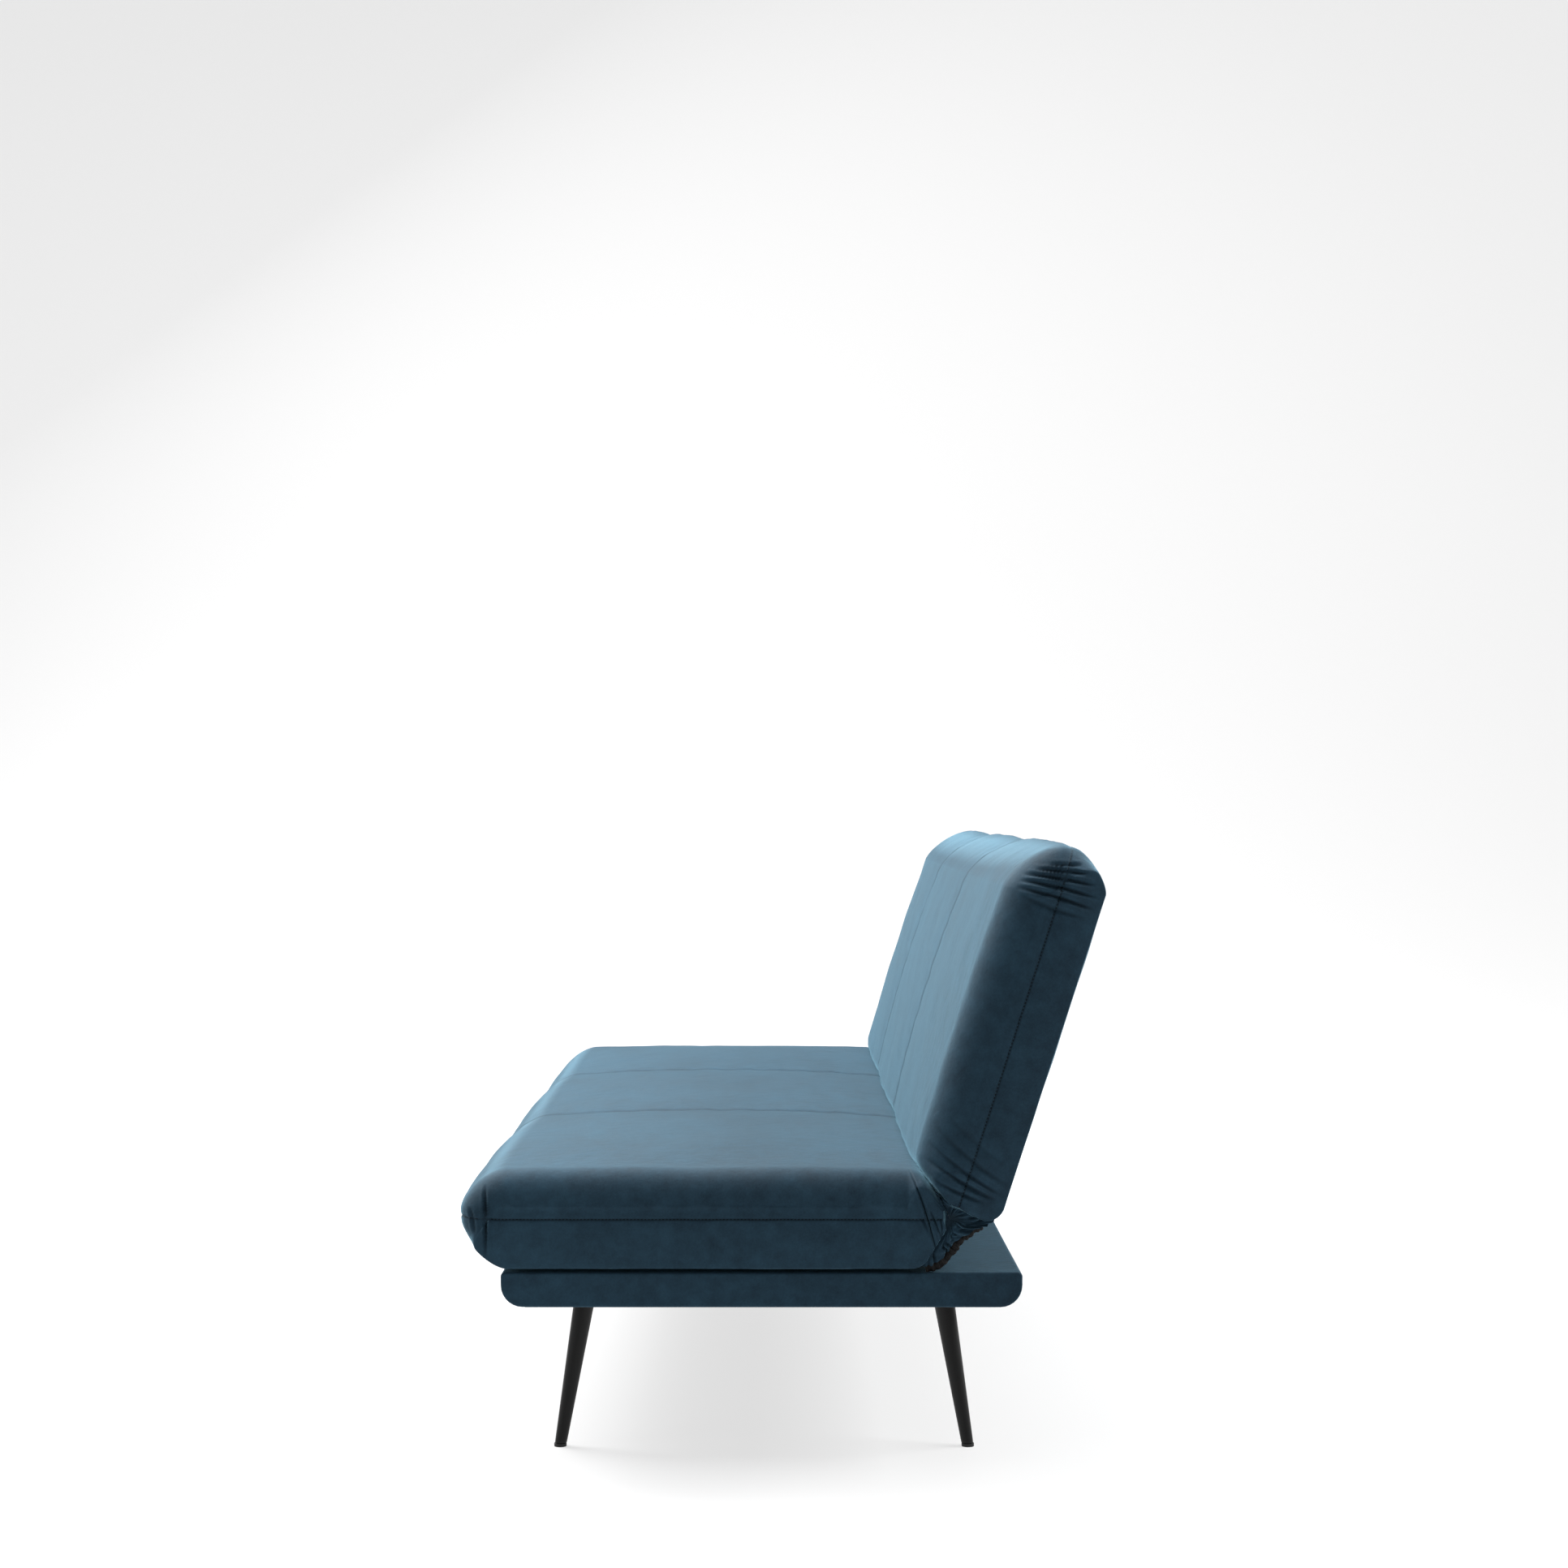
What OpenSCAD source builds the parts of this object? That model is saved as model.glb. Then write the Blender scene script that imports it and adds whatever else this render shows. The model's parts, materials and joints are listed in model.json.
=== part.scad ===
// Click-clack sofa bed. A padded slab base stands on four splayed legs, the seat
// draws forward on two runners, and the back reclines until both cushions lie flat.
// Axes: +X along the length, -Y to the front, +Z up. The origin is on the floor,
// under the middle of the whole sofa. Lengths in millimetres, angles in degrees.

/* [Cushions] */
// Length of the seat and the back
sofa_l = 1800; // [1600:10:2000]
// From the front of the seat to the hinge line
seat_run = 643; // [620:1:680]
// Thickness of the seat cushion above its seam
seat_up_t = 70; // [62:1:74]
// Thickness of the seat cushion below its seam
seat_low_t = 66; // [62:1:70]
// Rounding of the seat's front edge above its seam
seat_up_r = 62; // [40:1:62]
// Rounding of the seat's front edge below its seam
seat_low_r = 58; // [40:1:60]
// From the hinge line to the top of the back
back_run = 506; // [460:1:540]
// Thickness of the back cushion in front of its seam
back_front_t = 80; // [70:1:84]
// Thickness of the back cushion behind its seam
back_rear_t = 59; // [57:1:64]
// Rounding of the back's top edge in front of its seam
back_front_r = 70; // [40:1:70]
// Rounding of the back's top edge behind its seam
back_rear_r = 48; // [35:1:52]
// Lean of the back from the vertical
back_lean = 18; // [15:0.5:22]
// Half angle of the wedge that each cushion narrows to at the hinge, on the lounging side
wedge = 53.5; // [50:0.5:53.5]
// The same half angle below the seat
seat_low_wedge = 58; // [54:1:60]
// The same half angle behind the back
back_low_wedge = 80; // [70:1:80]
// Thickness of the velvet and its lining
cover_t = 2; // [1.5:0.1:2.5]

/* [Base] */
// Length of the base
base_l = 1784; // [1590:2:1990]
// Depth of the base
base_d = 675; // [660:1:700]
// How far the base stands back from the front of the seat
base_setback = 56; // [40:1:70]
// Thickness of the base
base_t = 46; // [44:1:52]
// Height of the base's underside above the floor
base_z = 205; // [180:1:230]
// Rounding of the base's lower edges
base_low_r = 29; // [20:1:30]
// Gap between the base and the seat above it
seat_gap = 3; // [3:0.5:5]

/* [Legs] */
// Diameter of a leg at its top
leg_top_d = 29; // [26:0.5:34]
// Diameter of a leg at its foot
leg_foot_d = 16; // [14:0.5:20]
// Wall of the leg's tube
leg_wall = 1.6; // [1.2:0.1:2]
// How far a leg's foot stands out from its top, to the front or rear
leg_splay_y = 32; // [15:1:45]
// How far a leg's foot stands out from its top, to the end
leg_splay_x = 27; // [10:1:45]
// From the end of the sofa to the middle of a leg's top
leg_inset_x = 145; // [120:1:200]
// From the front of the seat to the middle of a front leg's top
leg_front_d = 157; // [150:1:200]
// From the front of the seat to the middle of a rear leg's top
leg_rear_d = 636; // [600:1:640]

/* [Frames] */
// Width of a frame rail
rail_w = 32; // [28:1:36]
// Height of a frame rail
rail_h = 36; // [34:1:38]
// Number of sprung slats across each frame
slat_count = 14; // [8:1:16]
// Width of a slat
slat_w = 60; // [50:1:68]
// Thickness of a slat
slat_t = 10; // [8:1:10]

/* [Motion] */
// How far the seat draws forward
slide_travel = 185; // [0:5:185]
// From the middle of the sofa to each runner
runner_x = 560; // [450:10:650]
// Length of the sliding half of a runner
runner_l = 270; // [200:10:270]
// Diameter of the pivot bolt
pivot_d = 10; // [8:1:12]
// Number of teeth on a full ratchet wheel
tooth_count = 30; // [24:1:36]

/* [Hidden] */
$fn = 48;
eps = 0.01;
play = 0.1;
// Each cushion's run, thickness above and below its seam, roundings, and lower wedge angle.
SEAT = [seat_run, seat_up_t, seat_low_t, seat_up_r, seat_low_r, seat_low_wedge];
BACK = [back_run, back_front_t, back_rear_t, back_front_r, back_rear_r, back_low_wedge];
lean_sin = sin(back_lean);
lean_cos = cos(back_lean);
// The rearmost point is on the rounded top corner of the back.
sofa_d = seat_run + back_rear_r + (back_run - back_rear_r) * lean_sin
       + (back_rear_t - back_rear_r) * lean_cos;
hinge_y = seat_run - sofa_d / 2;
seat_z0 = base_z + base_t + seat_gap;
hinge_z = seat_z0 + seat_low_t;
base_y0 = base_setback - sofa_d / 2;
base_top = base_z + base_t;
base_top_r = 6;
deck_t = 9;
deck_z = base_top - cover_t - deck_t;
hem_w = 30;
// Width of the rails along the base, which fill its rounded lower edges, and of its end rails.
base_rail_w = base_low_r + 16;
base_end_rail_w = 40;
dust_t = 1.5;
plate_t = 3;
leg_plate_w = 90;
leg_top_z = base_z - dust_t - plate_t;
block_w = 90;
screw_r = 2.5;
screw_pitch = 66;
screw_l = 26;
glide_h = 4;
channel_w = 40;
channel_h = 14;
channel_t = 2;
channel_slot = 16;
runner_y0 = 10 - runner_l / 2;
runner_y1 = runner_y0 + runner_l;
channel_y0 = runner_y0 - slide_travel - 0.5 - channel_t;
channel_y1 = runner_y1 + 0.5 + channel_t;
channel_z = base_top - channel_h;
pocket_gap = 1;
// Two strips that the seat glides over: how far inside each runner, how wide, and their run.
strip_inset = 230;
strip_w = 30;
strip_y = [-200, 140];
// Each cushion holds its frame this far in from its far end and its own ends.
end_wrap = 28;
frame_x = sofa_l / 2 - cover_t - end_wrap;
slat_lift = 2;
cap_l = 24;
cap_wall = 2;
nose_gap = 0.8;
nose_u = 8;
nose_reach = 20;
wedge_r = 25;
// The hinge plates lie side by side, the seat's against the seat's end rail and
// the back's against the back's, which is set out by one plate and a small gap.
fit_t = 4.5;
fit_gap = 0.5;
seat_fit_x = frame_x;
back_fit_x = frame_x + fit_t + fit_gap;
pivot_r = pivot_d / 2;
pivot_play = 0.05;
boss_r = 16;
tooth_r = 24;
tooth_depth = 3;
tooth_gap = 0.4;
pawl_u = 44;
pawl_v = -20;
pawl_pin_r = 3;
fit_bolt_r = 3;
fit_bolt_us = [106, 146];
fit_margin = 4;
fit_pad_l = 96;
// The arm of a plate leaves the round boss at this angle on each side.
fit_arm_a = 60;
// First and last tooth of the sector that the pawl faces.
teeth = [9, 17];
pawl_r = 7;
pawl_tip = 1.5;
bolt_head_r = 9;
// The gusset is an arc about a point above the seat, given from the hinge line in Y and Z.
gusset_t = 2;
gusset_r = 173;
gusset_y = -110;
gusset_z = 95;
gusset_a = [-64.5, -40];
pocket_u = 170;
velvet = "#4f7f95";
velvet_end = "#456f84";
timber = "#c9a878";
foam = "#e9e2c8";
steel = "#8f959b";
black = "#1b1b1c";
SIDES = [["left", 1], ["right", -1]];
LEGS = [["front_left", 1, -1], ["front_right", -1, -1], ["rear_left", 1, 1], ["rear_right", -1, 1]];

// ---- Helpers ----

// Points of an arc about [x, y], from angle a to angle b.
function arc(x, y, r, a, b, n = 6) =
    [for (k = [0:n]) [x + r * cos(a + (b - a) * k / n), y + r * sin(a + (b - a) * k / n)]];

// Position along X of slat number k, with the slats spread evenly between the end rails.
function slat_x(k) =
    (k + 0.5 - slat_count / 2) * 2 * (frame_x - rail_w - 6) / slat_count;

// Parts of a cushion's description, c.
function run(c) = c[0];
function up(c) = c[1];
function low(c) = c[2];

// Outline of a cushion in its own plane. u runs from the hinge line to the far edge and
// v from the seam up to the face that is sat or lain on. inset gives the inside face
// of the cover. The near end is a wedge with its tip on the hinge line, at the half angle
// wedge above the seam and at its own angle below.
function cushion_outline(c, inset) =
    let (r_up = c[3], r_low = c[4], low_wedge = c[5])
    concat(arc(run(c) - r_low, r_low - low(c), r_low - inset, -90, 0),
           arc(run(c) - r_up, up(c) - r_up, r_up - inset, 0, 90),
           arc(wedge_mid_u(up(c), wedge), up(c) - wedge_r, wedge_r - inset, 90, 90 + wedge),
           [[nose_u + inset, nose_v(wedge, inset)], [nose_u + inset, -nose_v(low_wedge, inset)]],
           arc(wedge_mid_u(low(c), low_wedge), wedge_r - low(c), wedge_r - inset,
               270 - low_wedge, 270));

// u of the middle of the rounding where a wedge at half angle a meets a cushion's face.
function wedge_mid_u(h, a) = (nose_gap + wedge_r + (h - wedge_r) * cos(a)) / sin(a);
// v at which a wedge at half angle a is cut off square near its tip.
function nose_v(a, inset) =
    min(((nose_u + inset) * sin(a) - nose_gap - inset) / cos(a), nose_reach);

// Outline of the base, in Y and Z, with a small radius above and a large one below.
function base_outline(inset) =
    concat(arc(base_y0 + base_low_r, base_z + base_low_r, base_low_r - inset, 180, 270),
           arc(base_y0 + base_d - base_low_r, base_z + base_low_r, base_low_r - inset, 270, 360),
           arc(base_y0 + base_d - base_top_r, base_top - base_top_r, base_top_r - inset, 0, 90),
           arc(base_y0 + base_top_r, base_top - base_top_r, base_top_r - inset, 90, 180));

// A shape drawn in the second and third axes, run along the sofa.
module along(l) {
    rotate([90, 0, 90])
        translate([0, 0, -l / 2])
            linear_extrude(l)
                children();
}

// A box between two corners.
module box(low, high) {
    translate(low)
        cube(high - low);
}

// A round bar along X, from x to x + l.
module bar(x, u, v, r, l) {
    translate([x, u, v])
        rotate([0, 90, 0])
            cylinder(r = r, h = l);
}

// Mirrors its children to the end of the sofa that side names: 1 is left, -1 right.
module at_side(side) {
    mirror([side < 0 ? 1 : 0, 0, 0])
        children();
}

// Places children drawn in the seat's own axes: X, u to the front, v up.
module in_seat() {
    translate([0, hinge_y, hinge_z])
        mirror([0, 1, 0])
            children();
}

// Places children drawn in the back's own axes: X, u up the back, v to the front.
module in_back() {
    translate([0, hinge_y, hinge_z])
        rotate([90 - back_lean, 0, 0])
            children();
}

// ---- Cushion parts, shared by the seat and the back ----

// First and last u of a cushion's frame, and the v of its underside.
function frame_u0(c) = wedge_mid_u(low(c), wedge) + 3.5;
function frame_u1(c) = run(c) - c[4] - 3;
function frame_v0(c) = cover_t - low(c);

// Room for the hinge plates at both ends of a cushion.
module hinge_pockets(c) {
    for (side = SIDES)
        at_side(side[1])
            box([frame_x - 10, -6, frame_v0(c)], [back_fit_x + fit_t + 9, pocket_u, 30]);
}

module cushion_foam(c) {
    cut_top = frame_v0(c) + rail_h + slat_lift + slat_t + cap_wall + 1;
    difference() {
        along(sofa_l - 2 * cover_t)
            polygon(cushion_outline(c, cover_t));
        box([-frame_x - fit_t - fit_gap, frame_u0(c) - play, -low(c)],
            [frame_x + fit_t + fit_gap, frame_u1(c) + play, cut_top]);
        hinge_pockets(c);
    }
}

// The whole cover, a closed skin, cut on the seam plane: part 1 is above it, -1 below.
module cushion_cover(c, part) {
    intersection() {
        difference() {
            along(sofa_l)
                polygon(cushion_outline(c, 0));
            along(sofa_l - 2 * cover_t)
                polygon(cushion_outline(c, cover_t));
            hinge_pockets(c);
        }
        if (part > 0)
            box([-sofa_l, -1, 0], [sofa_l, run(c) + 1, up(c) + 1]);
        else
            box([-sofa_l, -1, -low(c) - 1], [sofa_l, run(c) + 1, 0]);
    }
}

// A rail along the sofa, from u to u + rail_w, between the two end rails.
module long_rail(c, u) {
    box([rail_w - frame_x, u, frame_v0(c)], [frame_x - rail_w, u + rail_w, frame_v0(c) + rail_h]);
}

// The left end rail, drilled for the hinge plate's bolts. out is how far it is set out.
module end_rail(c, out) {
    difference() {
        box([frame_x - rail_w, frame_u0(c), frame_v0(c)],
            [frame_x + out, frame_u1(c), frame_v0(c) + rail_h]);
        for (u = fit_bolt_us)
            bar(frame_x - rail_w - 1, u, frame_v0(c) + rail_h / 2, fit_bolt_r, rail_w + out + 2);
    }
}

module slats(c) {
    v = frame_v0(c) + rail_h + slat_lift;
    for (k = [0:slat_count - 1])
        box([slat_x(k) - slat_w / 2, frame_u0(c) + 4, v],
            [slat_x(k) + slat_w / 2, frame_u1(c) - 4, v + slat_t]);
}

// Plastic pockets on the two long rails that hold the ends of the slats.
module slat_caps(c) {
    v = frame_v0(c) + rail_h;
    difference() {
        for (k = [0:slat_count - 1], u = [frame_u0(c) + 1, frame_u1(c) - 1 - cap_l])
            box([slat_x(k) - slat_w / 2 - 3, u, v],
                [slat_x(k) + slat_w / 2 + 3, u + cap_l, v + slat_lift + slat_t + cap_wall]);
        slats(c);
    }
}

// ---- Base ----

module base_long_rail(rear) {
    y = rear ? base_y0 + base_d - base_rail_w : base_y0;
    color(timber)
        intersection() {
            along(base_l - 2 * cover_t)
                polygon(base_outline(cover_t));
            box([-base_l, y, base_z], [base_l, y + base_rail_w, deck_z]);
        }
}

module base_end_rail(side) {
    color(timber)
        at_side(side)
            box([base_l / 2 - cover_t - base_end_rail_w, base_y0 + base_rail_w, base_z + cover_t],
                [base_l / 2 - cover_t, base_y0 + base_d - base_rail_w, deck_z]);
}

// Two rails that run from front to rear under the runners.
module base_cross_rails() {
    color(timber)
        for (side = SIDES)
            at_side(side[1])
                box([runner_x - rail_w / 2, base_y0 + base_rail_w, base_z + cover_t],
                    [runner_x + rail_w / 2, base_y0 + base_d - base_rail_w, channel_z]);
}

// Bores for a leg's four screws, from z up, drawn about the leg's top.
module screw_bores(z, l, r = screw_r) {
    for (x = [-1, 1], y = [-1, 1])
        translate([x * screw_pitch / 2, y * screw_pitch / 2, z])
            cylinder(r = r, h = l);
}

function leg_top(leg) =
    [leg[1] * (sofa_l / 2 - leg_inset_x), (leg[2] < 0 ? leg_front_d : leg_rear_d) - sofa_d / 2];
function leg_foot(leg) =
    leg_top(leg) + [leg[1] * leg_splay_x, leg[2] * leg_splay_y];

module at_leg(leg) {
    translate([leg_top(leg)[0], leg_top(leg)[1], 0])
        children();
}

// Blocks inside the base that the legs are screwed to.
module leg_blocks() {
    color(timber)
        for (leg = LEGS)
            at_leg(leg)
                difference() {
                    box([-block_w / 2, -block_w / 2, base_z], [block_w / 2, block_w / 2, deck_z]);
                    screw_bores(base_z - 1, screw_l);
                }
}

// Slots in the top of the base for the two runner channels.
module runner_slots() {
    for (side = SIDES)
        at_side(side[1])
            box([runner_x - channel_w / 2 - pocket_gap, channel_y0 - pocket_gap, channel_z],
                [runner_x + channel_w / 2 + pocket_gap, channel_y1 + pocket_gap, base_top + 1]);
}

module base_deck() {
    color(timber)
        difference() {
            along(base_l - 2 * cover_t)
                polygon(base_outline(cover_t));
            box([-base_l, base_y0 - 1, base_z - 1], [base_l, base_y0 + base_d + 1, deck_z]);
            runner_slots();
        }
}

// Velvet round the base, turned in under its edges as a hem.
module base_cover() {
    color(velvet_end)
        difference() {
            along(base_l)
                polygon(base_outline(0));
            along(base_l - 2 * cover_t)
                polygon(base_outline(cover_t));
            box([hem_w - base_l / 2, base_y0 + base_rail_w, base_z - 1],
                [base_l / 2 - hem_w, base_y0 + base_d - base_rail_w, base_z + cover_t + eps]);
            runner_slots();
        }
}

module base_dust_cover() {
    color(black)
        difference() {
            box([12 - base_l / 2, base_y0 + base_low_r + 2, base_z - dust_t],
                [base_l / 2 - 12, base_y0 + base_d - base_low_r - 2, base_z]);
            for (leg = LEGS)
                at_leg(leg)
                    screw_bores(base_z - dust_t - 1, dust_t + 2);
        }
}

// ---- Legs ----

// A point of a leg's middle line, at height z.
function leg_point(leg, z) =
    leg_foot(leg) + (leg_top(leg) - leg_foot(leg)) * z / leg_top_z;

// A leaning, tapered bar with level ends, from height z0 to z1.
module leg_bar(leg, z0, z1, less) {
    thin = 0.01;
    grow = (leg_top_d - leg_foot_d) / 2 / leg_top_z;
    hull() {
        for (z = [z0, z1 - thin])
            translate([leg_point(leg, z)[0], leg_point(leg, z)[1], z])
                cylinder(r = leg_foot_d / 2 + grow * z - less, h = thin, $fn = 32);
    }
}

module leg(leg) {
    color(black)
        difference() {
            leg_bar(leg, glide_h, leg_top_z, 0);
            leg_bar(leg, glide_h - 1, leg_top_z + 1, leg_wall);
        }
}

// Plastic glide: a flat foot as wide as the tube, with a plug that goes up inside it.
module foot_glide(leg) {
    color("#2a2a2b")
        translate([leg_foot(leg)[0], leg_foot(leg)[1], 0])
            union() {
                cylinder(r = leg_foot_d / 2 + 0.3, h = glide_h);
                cylinder(r = leg_foot_d / 4 - 0.5, h = 3 * glide_h);
            }
}

module leg_plate(leg) {
    color(black)
        at_leg(leg)
            difference() {
                box([-leg_plate_w / 2, -leg_plate_w / 2, leg_top_z],
                    [leg_plate_w / 2, leg_plate_w / 2, leg_top_z + plate_t]);
                screw_bores(leg_top_z - 1, plate_t + 2);
            }
}

// Pan-head screws, four to a leg.
module leg_screws() {
    color(steel)
        for (leg = LEGS)
            at_leg(leg) {
                screw_bores(leg_top_z, screw_l - 6);
                screw_bores(leg_top_z - 2.5, 2.5, 2 * screw_r);
            }
}

// ---- Runners ----

// A C channel let into the base, closed at both ends, which stop the sliding half.
module runner_channel(side) {
    color(steel)
        at_side(side)
            difference() {
                box([runner_x - channel_w / 2, channel_y0, channel_z],
                    [runner_x + channel_w / 2, channel_y1, base_top]);
                box([runner_x - channel_w / 2 + channel_t, channel_y0 + channel_t, channel_z + channel_t],
                    [runner_x + channel_w / 2 - channel_t, channel_y1 - channel_t, base_top - channel_t]);
                box([runner_x - channel_slot / 2, channel_y0 + channel_t, channel_z + channel_t],
                    [runner_x + channel_slot / 2, channel_y1 - channel_t, base_top + 1]);
            }
}

// The sliding half: a T bar whose head runs under the channel's lips.
module runner_rail(side) {
    head_w = channel_w - 2 * channel_t - 4;
    color(steel)
        at_side(side)
            union() {
                box([runner_x - head_w / 2, runner_y0, channel_z + channel_t + 1.5],
                    [runner_x + head_w / 2, runner_y1, base_top - channel_t - 1.5]);
                box([runner_x - channel_slot / 2 + 3, runner_y0, base_top - channel_t - 2],
                    [runner_x + channel_slot / 2 - 3, runner_y1, seat_z0 + cover_t]);
            }
}

// Two low strips on the base that the seat glides over.
module glide_strips() {
    color(black)
        for (side = SIDES)
            at_side(side[1])
                box([runner_x - strip_inset, strip_y[0], base_top],
                    [runner_x - strip_inset + strip_w, strip_y[1], seat_z0 - play * 5]);
}

// ---- Seat ----

module seat_long_rail(front) {
    u = front ? frame_u1(SEAT) - rail_w : frame_u0(SEAT);
    color(timber)
        in_seat()
            long_rail(SEAT, u);
}

module seat_end_rail(side) {
    color(timber)
        in_seat()
            at_side(side)
                end_rail(SEAT, 0);
}

// Rails over the runners.
module seat_cross_rails() {
    color(timber)
        in_seat()
            for (side = SIDES)
                at_side(side[1])
                    box([runner_x - rail_w / 2, frame_u0(SEAT) + rail_w, frame_v0(SEAT)],
                        [runner_x + rail_w / 2, frame_u1(SEAT) - rail_w, frame_v0(SEAT) + rail_h]);
}

module seat_slats() {
    color(timber)
        in_seat()
            slats(SEAT);
}

module seat_slat_caps() {
    color(black)
        in_seat()
            slat_caps(SEAT);
}

module seat_foam() {
    color(foam)
        in_seat()
            cushion_foam(SEAT);
}

module seat_cover_top() {
    color(velvet)
        in_seat()
            cushion_cover(SEAT, 1);
}

// Extent of the cloth let into the underside of the seat cover.
module underside_box(low_v, high_v) {
    inset = 68;
    in_seat()
        box([inset - sofa_l / 2, inset, low_v], [sofa_l / 2 - inset, seat_run - inset, high_v]);
}

module seat_cover_bottom() {
    color(velvet_end)
        difference() {
            in_seat()
                cushion_cover(SEAT, -1);
            underside_box(-seat_low_t - 1, frame_v0(SEAT) + eps);
        }
}

// Black cloth under the seat, slotted where the runners are screwed through it.
module seat_underside() {
    color(black)
        difference() {
            underside_box(-seat_low_t, frame_v0(SEAT));
            for (side = SIDES)
                at_side(side[1])
                    box([runner_x - channel_slot / 2 + 3, runner_y0, seat_z0 - 1],
                        [runner_x + channel_slot / 2 - 3, runner_y1, seat_z0 + cover_t + 1]);
        }
}

// ---- Hinge fittings ----

// A steel plate: a round boss on the hinge line, an arm, and a pad bolted to an end rail.
module fitting_plate(x, c, hole_r) {
    v0 = frame_v0(c);
    pad_u = frame_u0(c) + fit_margin;
    difference() {
        union() {
            bar(x, 0, 0, boss_r, fit_t);
            translate([x + fit_t / 2, 0, 0])
                along(fit_t)
                    polygon([[-boss_r * cos(fit_arm_a), -boss_r * sin(fit_arm_a)],
                             [pad_u, v0 + fit_margin],
                             [pad_u + 2 * fit_margin, v0 + rail_h - fit_margin / 2],
                             [boss_r * cos(fit_arm_a), boss_r * sin(fit_arm_a)]]);
            box([x, pad_u, v0 + fit_margin], [x + fit_t, pad_u + fit_pad_l, v0 + rail_h - fit_margin]);
        }
        bar(x - 1, 0, 0, hole_r, fit_t + 2);
        for (u = fit_bolt_us)
            bar(x - 1, u, v0 + rail_h / 2, fit_bolt_r, fit_t + 2);
    }
}

module seat_plate(side) {
    color(steel)
        in_seat()
            at_side(side)
                difference() {
                    fitting_plate(seat_fit_x, SEAT, pivot_r);
                    bar(seat_fit_x - 1, pawl_u, pawl_v, pawl_pin_r, fit_t + 2);
                }
}

// One ratchet tooth, its steep side facing the way the back may not fall.
module tooth(a) {
    pitch = 360 / tooth_count;
    root = tooth_r - tooth_depth;
    polygon([[root * cos(a), root * sin(a)],
             [tooth_r * cos(a), tooth_r * sin(a)],
             [root * cos(a + pitch), root * sin(a + pitch)],
             [(root - 3) * cos(a + pitch / 2), (root - 3) * sin(a + pitch / 2)]]);
}

// The back's plate carries the toothed sector that the pawl faces over the whole travel.
module back_plate(side) {
    pitch = 360 / tooth_count;
    color(steel)
        in_back()
            at_side(side)
                difference() {
                    union() {
                        fitting_plate(back_fit_x, BACK, pivot_r + pivot_play);
                        bar(back_fit_x, 0, 0, tooth_r - tooth_depth + 0.05, fit_t);
                        translate([back_fit_x + fit_t / 2, 0, 0])
                            along(fit_t)
                                for (k = [teeth[0]:teeth[1]])
                                    tooth(k * pitch);
                    }
                    bar(back_fit_x - 1, 0, 0, pivot_r + pivot_play, fit_t + 2);
                }
}

// A short lever on the seat's plate, with its nose just clear of the teeth.
module pawl(side) {
    dist = norm([pawl_u, pawl_v]);
    reach = dist - tooth_r - tooth_gap;
    color(steel)
        in_seat()
            at_side(side)
                translate([back_fit_x, pawl_u, pawl_v])
                    rotate([atan2(-pawl_v, -pawl_u), 0, 0])
                        difference() {
                            union() {
                                bar(0, 0, 0, pawl_r, fit_t);
                                translate([fit_t / 2, 0, 0])
                                    along(fit_t)
                                        polygon([[0, -pawl_r], [reach, -pawl_tip],
                                                 [reach, pawl_tip], [0, pawl_r]]);
                            }
                            bar(-1, 0, 0, pawl_pin_r, fit_t + 2);
                        }
}

// Stepped bolts on the hinge line, each with its nut inside the end rail's line.
module pivot_bolts() {
    color(steel)
        in_seat()
            for (side = SIDES)
                at_side(side[1]) {
                    union() {
                        bar(seat_fit_x - 7, 0, 0, pivot_r, 7 + 2 * fit_t + 2 * fit_gap);
                        bar(back_fit_x + fit_t + fit_gap, 0, 0, bolt_head_r, 5);
                    }
                    difference() {
                        translate([seat_fit_x - 7, 0, 0])
                            rotate([0, 90, 0])
                                cylinder(r = bolt_head_r, h = 6.5, $fn = 6);
                        bar(seat_fit_x - 8, 0, 0, pivot_r, 9);
                    }
                }
}

module pawl_pins() {
    color(steel)
        in_seat()
            for (side = SIDES)
                at_side(side[1])
                    union() {
                        bar(seat_fit_x, pawl_u, pawl_v, pawl_pin_r, 2 * fit_t + fit_gap + 4);
                        bar(back_fit_x + fit_t + 4, pawl_u, pawl_v, 5, 1);
                    }
}

// A coil of four turns round each pawl's pin.
module pawl_springs() {
    wire = 0.45;
    color(steel)
        in_seat()
            for (side = SIDES)
                at_side(side[1])
                    translate([back_fit_x + fit_t + 0.1, pawl_u, pawl_v])
                        rotate([0, 90, 0])
                            for (k = [0:3])
                                translate([0, 0, wire + k * 2 * (wire + 0.01)])
                                    rotate_extrude()
                                        translate([pawl_pin_r + wire + 0.1, 0])
                                            circle(r = wire, $fn = 16);
}

// Bolts from each plate into the end rail, with round heads.
module plate_bolts(x, c) {
    for (side = SIDES, u = fit_bolt_us)
        at_side(side[1])
            union() {
                bar(x - rail_w + 6, u, frame_v0(c) + rail_h / 2, fit_bolt_r, rail_w - 6 + fit_t);
                bar(x + fit_t, u, frame_v0(c) + rail_h / 2, 5.5, 3);
            }
}

module seat_plate_bolts() {
    color(steel)
        in_seat()
            plate_bolts(seat_fit_x, SEAT);
}

module back_plate_bolts() {
    color(steel)
        in_back()
            plate_bolts(back_fit_x, BACK);
}

// Gathered cloth with an elastic edge, from under the seat to the bottom of the back. It
// passes clear of the fittings on an arc about a point above the seat.
module crease_gusset() {
    a = gusset_a[0];
    b = gusset_a[1];
    color(black)
        translate([0, hinge_y, hinge_z])
            along(sofa_l - 4)
                polygon(concat(arc(gusset_y, gusset_z, gusset_r + gusset_t, a, b, 8),
                               arc(gusset_y, gusset_z, gusset_r, b, a, 8)));
}

// ---- Back ----

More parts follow.
